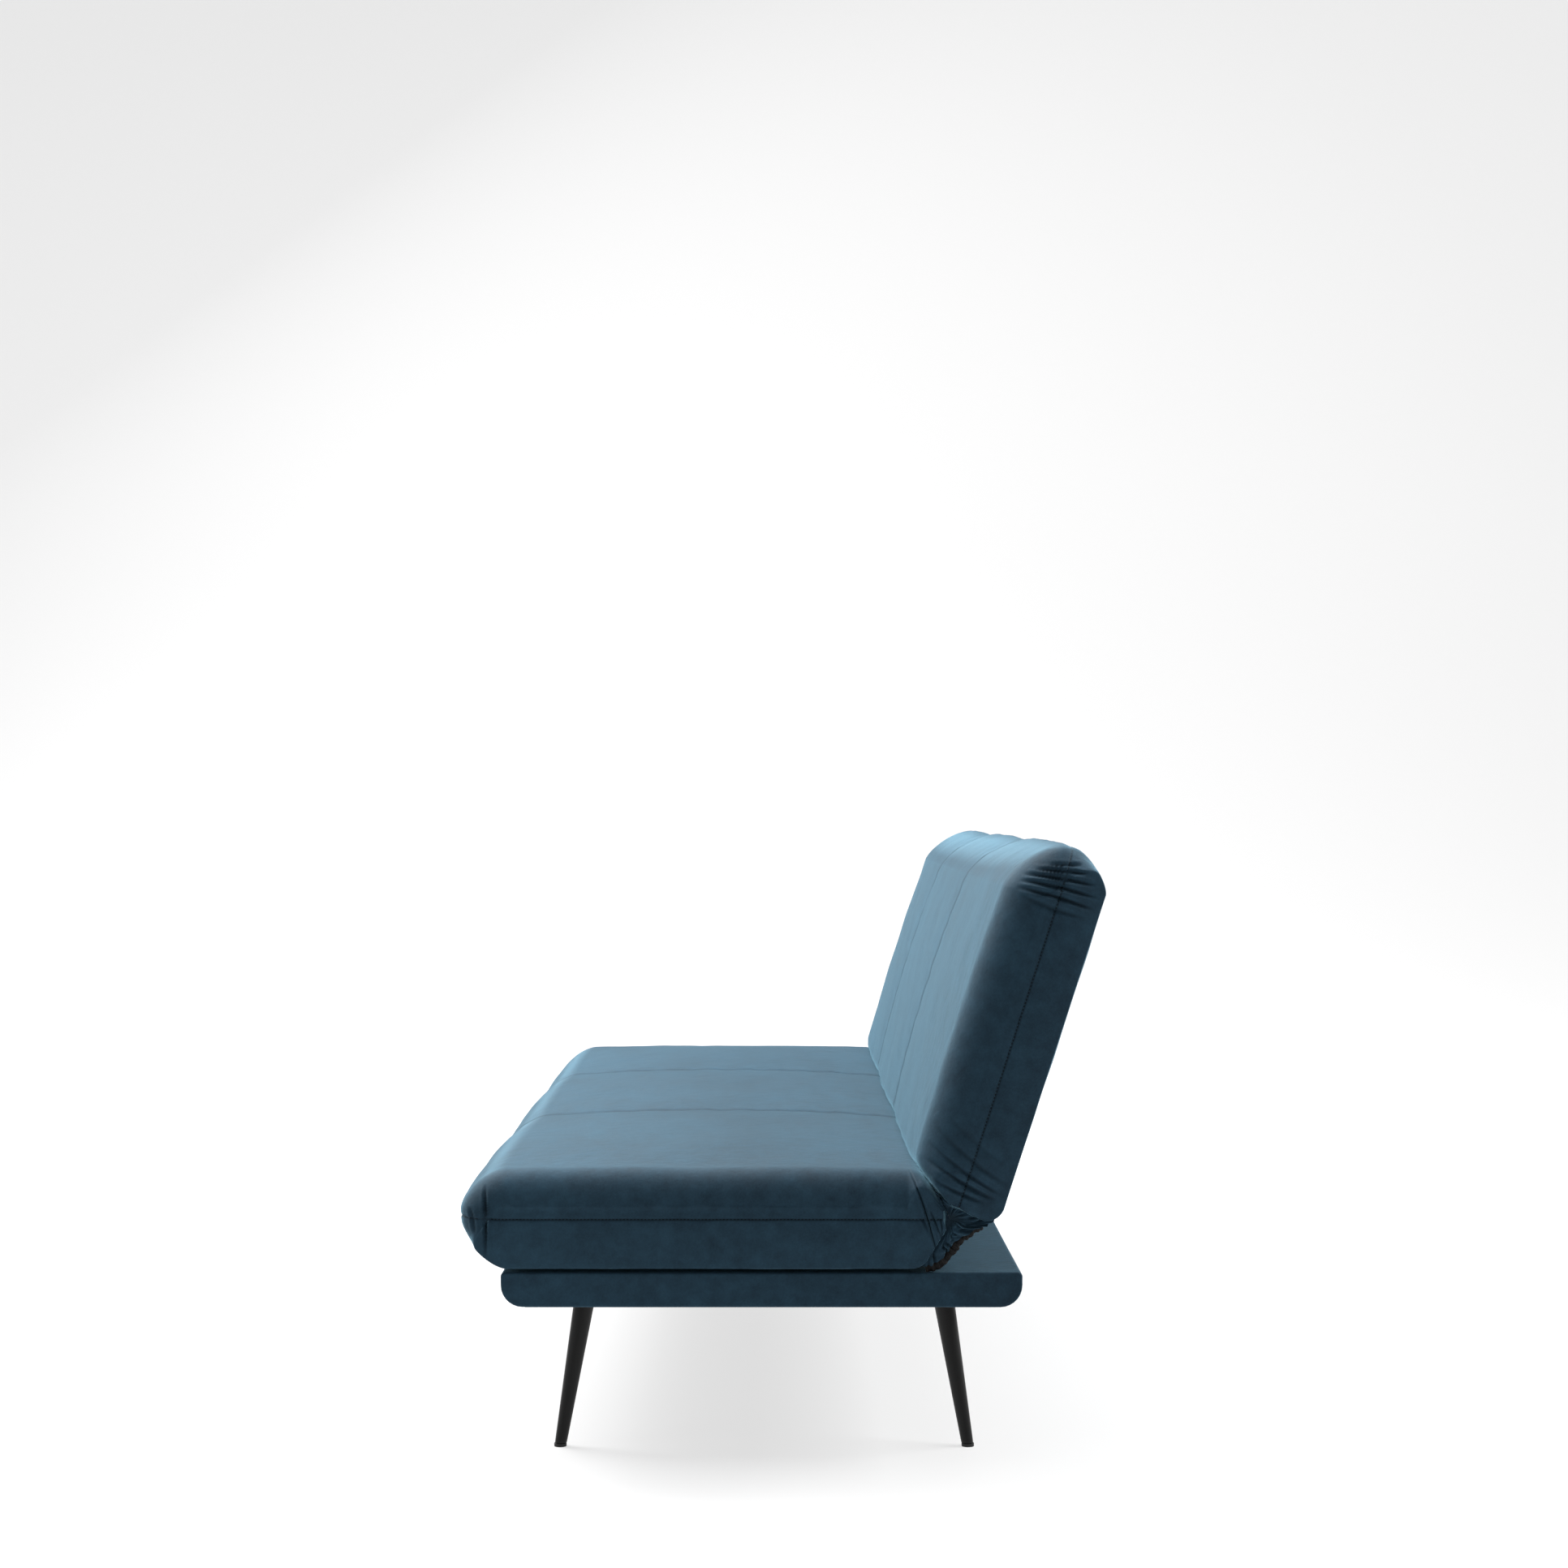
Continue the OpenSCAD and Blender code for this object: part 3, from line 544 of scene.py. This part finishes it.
def inflate(points, faces, pins, pressure, cap, frames=20):
    """Puffs a closed mesh with cloth simulation, held where pins is 1, and returns how
    far each point moved, capped."""
    obj = make_mesh("inflating", points, faces)
    group = obj.vertex_groups.new(name="pins")
    level = np.round(pins * 10).astype(int)
    for step in range(1, 11):
        chosen = np.flatnonzero(level == step).tolist()
        if chosen:
            group.add(chosen, step / 10, "REPLACE")
    cloth = obj.modifiers.new("cloth", "CLOTH")
    s = cloth.settings
    s.quality, s.mass, s.time_scale = 6, 0.35, 1.0
    s.tension_stiffness = s.compression_stiffness = 12.0
    s.shear_stiffness, s.bending_stiffness = 4.0, 0.8
    s.use_pressure, s.uniform_pressure_force = True, pressure
    s.shrink_min = -0.012
    s.vertex_group_mass, s.pin_stiffness = "pins", 1.0
    s.effector_weights.gravity = 0.0
    cloth.collision_settings.use_collision = False
    scene = bpy.context.scene
    for number in range(1, frames + 1):
        scene.frame_set(number)
    done = obj.evaluated_get(bpy.context.evaluated_depsgraph_get())
    moved = np.zeros(len(points) * 3)
    done.data.vertices.foreach_get("co", moved)
    moved = moved.reshape(-1, 3) - points
    scene.frame_set(1)
    bpy.data.objects.remove(obj)
    size = np.linalg.norm(moved, axis=1, keepdims=True)
    return moved * np.minimum(1, cap / np.maximum(size, 1e-9))


def resample(field, old, new):
    """Carries a grid of vectors from old rows and columns to new ones, linearly."""
    (old_a, old_b), (new_a, new_b) = old, new
    across = np.stack([[np.interp(new_b, old_b, row[:, k]) for row in field]
                       for k in range(3)], -1)
    return np.stack([[np.interp(new_a, old_a, across[:, j, k]) for j in range(len(new_b))]
                     for k in range(3)], -1).transpose(1, 0, 2)


def row_path(rows, cushion):
    """A number for each row that grows from one end seam to the other."""
    x, inset, squeeze = rows
    reach = np.abs(x) + inset * 1.2 + squeeze * cushion["h"][0]
    return np.sign(x) * reach


# Points in an end's cap and arc, in a panel, and in a section's fine ends and its middle.
COARSE = ((5, 4), 30, (13, 24))
FINE = ((20, 24), 32, (86, 66))


def puffed(cushion):
    """How far a cloth simulation moves the sheets, on a coarse grid of each."""
    grids = cushion_grids(cushion, *COARSE)
    points, faces, number = weld_sheets([g[3] for g in grids])
    pins = np.zeros(len(points))
    count = 0
    for side, rows, section, sheet in grids:
        gap, _ = seam_lines(cushion, side, rows, section, sheet)
        hold = 1 - smooth(2 * MM, 26 * MM, gap)
        hold = np.maximum(hold, 1 - smooth(20 * MM, 90 * MM, sheet[..., 1]))
        if side < 0:
            hold = np.maximum(hold, cushion["hold_low"])
        where = number[count:count + hold.size]
        np.maximum.at(pins, where, hold.reshape(-1))
        count += hold.size
    moved = inflate(points, faces, pins, cushion["pressure"], cushion["cap"])
    fields, count = [], 0
    for side, rows, section, sheet in grids:
        size = sheet[..., 0].size
        fields.append((moved[number[count:count + size]].reshape(sheet.shape),
                       (row_path(rows, cushion), section[2])))
        count += size
    return fields


def gathers(u, v, folds):
    """Depth and painted shade of the gathers on an end face, the shade darkening each
    groove. Each fold is a groove with a low ridge on each side. It crosses the seam at u = at,
    leans by slant, curves with the square of the height, and dies out at reach up and down."""
    depth = np.zeros(np.broadcast(u, v).shape)
    shade = np.zeros(depth.shape)
    for at, up, down, deep, slant, width in folds:
        t = (u - at * MM - slant * v - np.sign(slant) * v ** 2) / (width * MM)
        reach = np.where(v > 0, up, down) * MM
        hold = np.clip(1 - (v / reach) ** 2, 0, 1)
        depth = depth + deep * MM * (bell(t, 1.0) - 0.42 * bell(np.abs(t) - 1.9, 0.9)) * hold
        shade = np.maximum(shade, bell(t, 0.6) * hold ** 0.6 * min(1, deep / 4))
    return depth, shade


def cushion_piece(name, body, axes, cushion, replaced, seed):
    """A finished cushion. The cloth simulation's movement is added to the fine sheets, then
    the seams are pressed in, the panels are given slight ripples, and the ends gathered."""
    fields = puffed(cushion)
    sheets, seam_and_shade_values, along_values = [], [], []
    for k, (side, rows, section, sheet) in enumerate(cushion_grids(cushion, *FINE)):
        gap, along = seam_lines(cushion, side, rows, section, sheet)
        if fields:
            field, old = fields[k]
            sheet = sheet + resample(field, old, (row_path(rows, cushion), section[2]))
        x, inset, _ = (a[:, None] for a in rows)
        # The end faces are moved straight out, because folds moved along normals that
        # differ much from point to point cross each other.
        face = smooth(0.15, 0.7, inset / cushion["end_r"])[..., None]
        normal = outward(sheet, side) * (1 - face) + np.sign(x)[..., None] * face * [1, 0, 0]
        normal /= np.linalg.norm(normal, axis=-1, keepdims=True)
        s = section[2][None, :]
        loose = smooth(0, 40 * MM, gap)
        lumps = (0.9 * ripples(x, s, 0.16, seed) + 0.35 * ripples(x, s, 0.06, seed + 1)) * MM
        near = bell(gap - 16 * MM, 18 * MM) * ripples(along, 0 * along, 0.034, seed + 2 + k, 5)
        pinch = cushion["seam_deep"] * bell(gap, SEAM_R) + 1.3 * MM * bell(gap, 8 * MM)
        height = lumps * loose * cushion["loose"] + 0.7 * MM * near * cushion["loose"] - pinch
        ends = smooth(SOFA_L / 2 - 85 * MM, SOFA_L / 2 - 40 * MM, np.abs(x)) + 0 * s
        depth, shade = gathers(sheet[..., 1], sheet[..., 2], cushion["folds"])
        height = height - depth * ends
        fade = 1 - (inset / cushion["end_r"]) ** 2 * (1 - smooth(0, 26 * MM, s))
        fade = fade * smooth(0, 7 * MM, s[0, -1] - s)
        sheet = sheet + normal * (height * fade)[..., None]
        sheets.append(sheet)
        # Painted shade: the seam value darkens the seam lines and, on the end faces, the gathers' grooves.
        seam_and_shade_values.append(np.maximum(bell(gap, 1.2 * MM), shade * 0.85 * (ends > 0.5)))
        along_values.append(along)
    # The two sheets share their seams, so each shared point goes to its place in the first.
    sheets[1][:, 0], sheets[1][0], sheets[1][-1] = sheets[0][:, 0], sheets[0][0], sheets[0][-1]
    points, faces, number = weld_sheets(sheets)
    values = {}
    for key, grids in (("seam", seam_and_shade_values), ("along", along_values)):
        flat = np.concatenate([g.reshape(-1) for g in grids])
        values[key] = np.zeros(len(points))
        values[key][number] = flat
    obj = make_mesh(name, points @ axes + HINGE, faces, values)
    finish_piece(obj, VELVET)
    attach(obj, body)
    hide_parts(*replaced)
    return obj


UNDER = extent(SEAT_AXES, HINGE, "seat_underside")
SEAT = {
    "run": SEAT_HIGH[1], "h": (58 * MM, -SEAT_LOW[2] + 0.3 * MM), "bow": (62 * MM, 62 * MM),
    "power": (1.72, 1.5), "low_crisp": 0.93,
    "panel": (UNDER[1][0] + 3 * MM, UNDER[0][1] - 3 * MM, UNDER[1][1] + 3 * MM, 1.7 * MM),
    "wedge": (math.radians(53), math.radians(58)), "nose": 9 * MM,
    "spine": (62 * MM, SEAT_HIGH[1] - 76 * MM), "seams": (-SOFA_L / 6, SOFA_L / 6),
    "puff": (5 * MM, 0.5 * MM), "crown": (14 * MM, 0.0),
    "crown_span": (25 * MM, SEAT_HIGH[1] - 10 * MM), "end_r": 42 * MM, "end_puff": 5 * MM,
    "pressure": 3.0, "cap": 9 * MM, "hold_low": 0.9, "loose": 1.0,
    "seam_deep": 1.7 * MM, "fill": 0.75,
    # u where it crosses the seam, reach up and down, depth, slant and width, in mm
    "folds": [(SEAT_HIGH[1] / MM - 38, 42, 50, 5.4, 0.03, 2.2),
              (SEAT_HIGH[1] / MM - 20, 14, 20, 3.4, 0.22, 2.4),
              (35, 62, 42, 5.0, 0.3, 1.25), (18, -1, 36, 2.6, 0.08, 1.3),
              (27, 12, 44, 2.6, 0.42, 1.6), (41, -1, 44, 1.4, 0.5, 2.0)],
}
BACK = {
    "run": BACK_HIGH[1], "h": (68 * MM, -BACK_LOW[2]), "bow": (78 * MM, 48 * MM),
    "power": (1.5, 1.45), "low_crisp": 0.93,
    "wedge": (math.radians(53), math.radians(79)), "nose": 9 * MM,
    "spine": (58 * MM, BACK_HIGH[1] - 70 * MM), "seams": (-SOFA_L / 6, SOFA_L / 6),
    "puff": (5 * MM, 1 * MM), "crown": (15 * MM, 0.0),
    "crown_span": (20 * MM, BACK_HIGH[1] - 12 * MM), "end_r": 50 * MM, "end_puff": 5 * MM,
    "pressure": 3.0, "cap": 9 * MM, "hold_low": 0.6, "loose": 1.1,
    "seam_deep": 1.6 * MM, "fill": 0.7,
    "folds": [(BACK_HIGH[1] / MM - 26, 26, 16, 3.6, -0.3, 2.2),
              (BACK_HIGH[1] / MM - 35, 40, 26, 4.6, -0.22, 2.3),
              (BACK_HIGH[1] / MM - 45, 52, 40, 5.2, -0.14, 2.5),
              (BACK_HIGH[1] / MM - 57, 54, 46, 4.6, -0.08, 2.7),
              (BACK_HIGH[1] / MM - 70, 56, 46, 4.0, -0.02, 2.9),
              (BACK_HIGH[1] / MM - 86, 48, 40, 2.6, 0.03, 3.6),
              (34, 52, 30, 2.6, 0.1, 2.6), (47, 58, 44, 3.0, 0.2, 3.0),
              (60, 62, 50, 2.6, 0.3, 3.2), (78, 60, 52, 2.0, 0.38, 4.0),
              (100, 50, 40, 1.2, 0.42, 5.0)],
}


# ---------------------------------------------------------------- base
def base_section(depth, tall, slot_y):
    """The slab's section about its middle, as a closed ring of y and z, and the half width
    of its flat underside. The lower edges are large quarter circles and the upper ones
    small. slot_y are the two sides of the openings in the top, which need points of their
    own."""
    low_r, top_r = 29 * MM, 6 * MM
    flat = depth / 2 - low_r
    y = np.unique(np.concatenate([np.linspace(-flat, flat, 60), slot_y]))
    turn = np.linspace(0, math.pi / 2, 8)
    rim = graded(flat, depth / 2 - top_r, 5)[1:-1]
    side = np.stack([np.concatenate([rim, depth / 2 - top_r + top_r * np.sin(turn),
                                     flat + low_r * np.cos(turn)[:-1]]),
                     np.concatenate([0 * rim + tall / 2, tall / 2 - top_r + top_r * np.cos(turn),
                                     low_r - tall / 2 - low_r * np.sin(turn)[:-1]])], -1)
    ring = np.concatenate([np.stack([y, 0 * y + tall / 2], -1), side,
                           np.stack([y[::-1], 0 * y - tall / 2], -1), (side * [-1, 1])[::-1]])
    return np.concatenate([ring, ring[:1]]), flat


def base_rows(tip, end_r, marks):
    """The rows along the slab, from one end to the other: for each, its x, how far the
    section is drawn in by the end's rounding, and its scale, which closes the end."""
    end, spacing = tip - end_r, 14 * MM
    marks = [-end, *marks, end]
    x = np.concatenate([np.linspace(a, b, max(3, round((b - a) / spacing)), endpoint=False)
                        for a, b in zip(marks, marks[1:])] + [[end]])
    bend, close = np.linspace(0, math.pi / 2, 7)[1:], np.linspace(1, 0, 8)[1:]
    cap_x = np.concatenate([end + end_r * np.sin(bend), 0 * close + tip])
    cap_inset = np.concatenate([end_r - end_r * np.cos(bend), 0 * close + end_r])
    cap_scale = np.concatenate([0 * bend + 1, close])
    return (np.concatenate([-cap_x[::-1], x, cap_x]),
            np.concatenate([cap_inset[::-1], 0 * x, cap_inset]),
            np.concatenate([cap_scale[::-1], 0 * x + 1, cap_scale]))


def base_piece():
    """The velvet-covered slab: a rounded section run along the sofa. Its end is rounded and
    then closed by drawing the section in to its own middle line. The top is left open where
    the runner channels lie in it, and the faces bow very slightly between their edges."""
    low, high = BASE_LOW, BASE_HIGH
    middle = (low + high) / 2
    end_r, gap, most_bow = 3 * MM, 1 * MM, 0.6 * MM
    channels = [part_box(f"runner_channel_{side}") for side in ("right", "left")]
    slot_y = [channels[0][0].y - gap - middle[1], channels[0][1].y + gap - middle[1]]
    ring, flat = base_section(high[1] - low[1], high[2] - low[2], slot_y)
    slot_x = [c[k].x + (2 * k - 1) * gap for c in channels for k in (0, 1)]
    x, inset, scale = (a[:, None] for a in base_rows(high[0], end_r, slot_x))
    spine = np.clip(ring[:, 0], -flat, flat)[None]
    away_y, away_z = ring[None, :, 0] - spine, ring[None, :, 1]
    out = np.hypot(away_y, away_z)
    bow = most_bow * (1 - np.abs(ripples(x, ring[None, :, 0], 0.4, 41))) * (scale == 1)
    reach = (out - inset - bow) / out * scale
    points = np.stack([x + 0 * out, spine + away_y * reach, away_z * reach], -1)
    points = points + [0, *middle[1:]]
    quads = grid_faces(*points.shape[:2], flip=True)
    points = points.reshape(-1, 3)
    centre = points[quads].mean(1)
    keep = np.ones(len(quads), bool)
    for c_low, c_high in channels:
        inside = ((centre[:, :2] > np.array(c_low)[:2] - gap)
                  & (centre[:, :2] < np.array(c_high)[:2] + gap)).all(1)
        keep &= ~(inside & (centre[:, 2] > middle[2]))
    points, faces, _ = weld(points, quads[keep])
    obj = make_mesh("base_upholstery", points, faces)
    finish_piece(obj, VELVET)
    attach(obj, "base")
    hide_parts("base_cover")


# ---------------------------------------------------------------- crease
def crease_path():
    """The gusset's line under the crease, in metres from the hinge line, as y and z."""
    y = np.array([-39, -30, -19, -8, 4, 22, 37]) * MM
    z = np.array([-65, -63, -58, -47, -31, -17, -9]) * MM
    length = travelled(y, z)
    s = np.linspace(0, length[-1], 121)
    return np.stack([eased(s, length, y, 25), eased(s, length, z, 25)], -1), s


def corner_gather(side, name, seed):
    """The velvet gathered round the hinge at one end: a fan from a small hollow by the hinge
    out to the elastic. Its radius follows the elastic and then the back's lower edge. The
    folds run out from the hollow with a slight swirl, and deepen towards the edge."""
    # y and z from the hinge line, and how deep the edge is sunk behind the end, in mm
    rim = np.array([[-22, 36, 7], [-32, 6, 6], [-36, -20, 4], [-40, -44, 2], [-43, -62, 1],
                    [-33, -61, 0], [-23, -57, 0], [-12, -46, 0], [-1, -31, 0], [14, -21, 0],
                    [30, -13, 0], [46, -8, 3], [54, 2, 7], [44, 14, 8], [22, 30, 8],
                    [2, 40, 8], [-22, 36, 7]]) * MM
    hollow = np.array([-5, -2]) * MM
    length = travelled(rim[:, 0], rim[:, 1])
    s = np.linspace(0, length[-1], 261)
    edge = np.stack([eased(s, length, rim[:, k], 15) for k in (0, 1, 2)], -1)
    edge, sunk = edge[:, :2], edge[:, 2:]
    r = np.linspace(0, 1, 45)[None, :]
    swirl = s[:, None] + 14 * MM * np.sin(math.pi * r) ** 2
    wander = ripples(swirl, r * 42 * MM, 0.03, seed)
    swell = 0.6 + 0.5 * ripples(swirl, r * 14 * MM, 0.022, seed + 7)
    wide, close = (np.sin(2 * math.pi * swirl / (wave * MM) + 3.2 * wander) for wave in (30, 12.5))
    fold = wide * (1 - smooth(0.3, 0.7, r)) + close * smooth(0.3, 0.7, r)
    fold = fold * swell + 0.35 * ripples(swirl, r * 30 * MM, 0.009, seed + 9)
    deep = (3.6 * smooth(0.05, 0.6, r) + 0.6 * r) * MM
    x = (894 - 4 * (1 - r) ** 1.6 - 2.0 * r ** 4) * MM + fold * deep - sunk * r ** 2
    spot = hollow + (edge[:, None] - hollow) * r[..., None]
    spot = spot + 1.2 * MM * (fold * r)[..., None] * [0.5, -0.8]
    sheet = np.concatenate([(x * side)[..., None], spot + HINGE[1:]], -1)
    points, faces, number = weld(sheet.reshape(-1, 3), grid_faces(*sheet.shape[:2], flip=side < 0))
    seam = np.zeros(len(points))
    # Painted shade, carried by the seam value: the fold troughs and the hollow by the hinge are darker.
    seam[number] = np.maximum(np.clip(-fold * 0.45, 0, 0.6), 0.7 - smooth(0.1, 0.5, r)).reshape(-1)
    return make_mesh(name, points, faces, {"seam": seam})


def gusset_cloth(line, s, across):
    """The ruched gusset: the crease line swept along the sofa, with ripples square to it
    that fade out at both of its edges."""
    half, ruche, edge = 880 * MM, 6.2 * MM, 6 * MM
    x = np.linspace(-half, half, 441)[:, None]
    wave = 1.5 * MM * np.sin(2 * math.pi * s[None] / ruche + 1.2 * ripples(x, 0 * x, 0.03, 61))
    fade = smooth(0, edge, s) * smooth(0, edge, s[-1] - s)
    shift = (wave * fade)[..., None] * across[None]
    sheet = np.concatenate([x[..., None] + 0 * shift[..., :1], line[None] + shift + HINGE[1:]], -1)
    along = np.broadcast_to(s, sheet.shape[:2])
    return make_mesh("crease_gusset_cloth", sheet.reshape(-1, 3), grid_faces(*sheet.shape[:2]),
                     {"along": along.reshape(-1)})


def elastic_strip(line, s, across, side, name, number):
    """The elastic that edges one end of the gusset: a ribbon about the line's end, whose
    width and whose place along the sofa both swing with the ruching."""
    w, t = np.linspace(-1, 1, 15)[None, :], s[:, None]
    swing = ripples(t, w * 4 * MM, 0.02, 71 + number)
    ruche = np.sin(2 * math.pi * t / (8.4 * MM) + 2.6 * swing + 0.9 * w)
    uneven = 0.9 * ripples(t, 0 * t, 0.007, 77 + number)
    width = (7.6 - 2.4 * t / s[-1] + 1.4 * swing + uneven) * MM
    out = 888 + (2.6 * ruche + 1.2 * swing) * (0.4 + 0.6 * np.abs(w)) - 3.0 * w ** 2
    spot = line[:, None] + across[:, None] * (width * w)[..., None] + HINGE[1:]
    sheet = np.concatenate([(out * MM * side)[..., None], spot], -1)
    along = np.broadcast_to(t, sheet.shape[:2])
    return make_mesh(name, sheet.reshape(-1, 3), grid_faces(*sheet.shape[:2], flip=side < 0),
                     {"along": along.reshape(-1)})


def crease_pieces():
    """The gusset below the crease, and an elastic strip and a velvet fan at each end. Their
    flat sizes allow for the gathers."""
    line, s = crease_path()
    across = np.stack([np.gradient(line[:, 1]), -np.gradient(line[:, 0])], -1)
    across /= np.linalg.norm(across, axis=1, keepdims=True)
    pieces = [(gusset_cloth(line, s, across), ELASTIC, "gusset", (1.76, s[-1] * 1.35),
               ("seat_cushion", "back_cushion"))]
    under = ("crease_gusset_cloth",)
    for number, (side, word) in enumerate(((1, "left"), (-1, "right"))):
        strip = elastic_strip(line, s, across, side, f"crease_elastic_{word}", number)
        fan = corner_gather(side, f"corner_gather_{word}", 81 + number)
        pieces.append((strip, ELASTIC, "gusset", (0.014, s[-1] * 1.3), under))
        pieces.append((fan, VELVET, "velvet", (0.11, 0.09), under))
    for obj, material, slot, flat, rests_on in pieces:
        finish_piece(obj, material)
        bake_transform(obj)
    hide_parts("crease_gusset")


# ---------------------------------------------------------------- legs
def leg_pieces():
    """Smooth tapered legs. Each is a stack of level circles whose radius and centre run
    evenly from the foot to the plate, with rounded rims and a closed top and bottom."""
    top_d, foot_d = 29 * MM, 16 * MM
    for part in [n for n in frame["nodes"] if n.startswith(("leg_front", "leg_rear"))]:
        low, high = (np.array(c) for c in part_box(part))
        out = np.sign(low[:2] + high[:2])
        foot = np.where(out > 0, high[:2] - foot_d / 2, low[:2] + foot_d / 2)
        top = np.where(out > 0, low[:2] + top_d / 2, high[:2] - top_d / 2)
        t = np.concatenate([np.zeros(5), [0.004, 0.01], np.linspace(0.02, 0.98, 30),
                            [0.99, 0.996], np.ones(5)])
        share = np.concatenate([[0.02, 0.4, 0.7, 0.86, 0.92], [0.97, 1.0], np.ones(30),
                                [0.995, 0.98], [0.95, 0.8, 0.5, 0.2, 0.02]])
        radius = (foot_d + (top_d - foot_d) * t) / 2 * share
        angle = np.linspace(0, 2 * math.pi, 65)
        centre = foot + (top - foot) * t[:, None]
        around = np.stack([np.cos(angle), np.sin(angle)], -1)
        xy = centre[:, None] + around[None] * radius[:, None, None]
        z = np.broadcast_to((low[2] + (high[2] - low[2]) * t)[:, None, None], xy[..., :1].shape)
        grid = np.concatenate([xy, z], -1)
        grid[0], grid[-1] = grid[0].mean(0), grid[-1].mean(0)
        grid[:, -1] = grid[:, 0]
        points, faces, _ = weld(grid.reshape(-1, 3), grid_faces(*grid.shape[:2], flip=True))
        obj = make_mesh(f"tapered_{part}", points, faces)
        finish_piece(obj, FINISHES["leg_paint"])
        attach(obj, "base")
        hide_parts(part)


# ---------------------------------------------------------------- stage
def area_light(name, place, aim, size, watts):
    """A soft white rectangular light at a place, turned towards a point."""
    lamp = bpy.data.lights.new(name, "AREA")
    lamp.shape, lamp.size, lamp.size_y = "RECTANGLE", size[0], size[1]
    lamp.energy = watts
    obj = bpy.data.objects.new(name, lamp)
    obj.location = place
    obj.rotation_euler = (Vector(aim) - Vector(place)).to_track_quat("-Z", "Y").to_euler()
    bpy.context.scene.collection.objects.link(obj)


def stage_and_camera():
    """A pale floor that curves up into a backdrop, soft studio light, and the camera at the
    sofa's left end, level and a little above the seat."""
    turn = np.linspace(0, math.pi / 2, 20)
    curve = np.stack([-5.0 - 2.0 * np.sin(turn), 2.0 - 2.0 * np.cos(turn)], -1)
    path = np.concatenate([[[16.0, 0]], curve, [[-7.0, 14.0]]])[:, None]
    y = np.array([-18.0, 18.0])
    grid = np.stack([path[..., 0] + 0 * y, 0 * path[..., 0] + y, path[..., 1] + 0 * y], -1)
    floor = make_mesh("studio_floor", grid.reshape(-1, 3), grid_faces(*grid.shape[:2]))
    pale = Finish("studio_paint", Roughness=0.7, Specular_IOR_Level=0.2,
                  Base_Color=(0.2, 0.2, 0.2), Emission_Color=(1, 1, 1), Emission_Strength=0.7)
    floor.data.materials.append(pale.material)
    world = bpy.data.worlds.new("studio")
    world.use_nodes = True
    sky = world.node_tree.nodes["Background"]
    sky.inputs["Color"].default_value, sky.inputs["Strength"].default_value = (1, 1, 1, 1), 0.06
    bpy.context.scene.world = world
    area_light("key", (-3.0, -3.4, 5.0), (0.0, 0.0, 0.4), (4.5, 3.0), 900)
    area_light("top", (-0.6, -0.4, 5.0), (-0.2, 0.0, 0.4), (5.0, 5.0), 330)
    area_light("side", (2.6, -4.2, 2.2), (0.9, -0.1, 0.4), (1.6, 1.6), 30)
    area_light("rear", (0.2, 3.6, 3.2), (0.4, 0.3, 0.3), (3.0, 1.6), 260)
    lens = bpy.data.cameras.new("camera")
    lens.sensor_width, lens.lens = 36.0, 59.6
    lens.shift_x, lens.shift_y = 0.006, 0.014
    camera = bpy.data.objects.new("camera", lens)
    camera.location = (4.243, -0.011, 0.853)
    camera.rotation_euler = (math.pi / 2, 0, math.pi / 2)
    bpy.context.scene.collection.objects.link(camera)
    bpy.context.scene.camera = camera
    bpy.context.scene.view_settings.view_transform = "Standard"


finish_cad_nodes()
cushion_piece("seat_cushion", "seat", SEAT_AXES, SEAT,
              ("seat_cover_top", "seat_cover_bottom", "seat_foam"), 11)
cushion_piece("back_cushion", "back", BACK_AXES, BACK,
              ("back_cover_front", "back_cover_rear", "back_foam"), 23)
base_piece()
crease_pieces()
leg_pieces()
stage_and_camera()
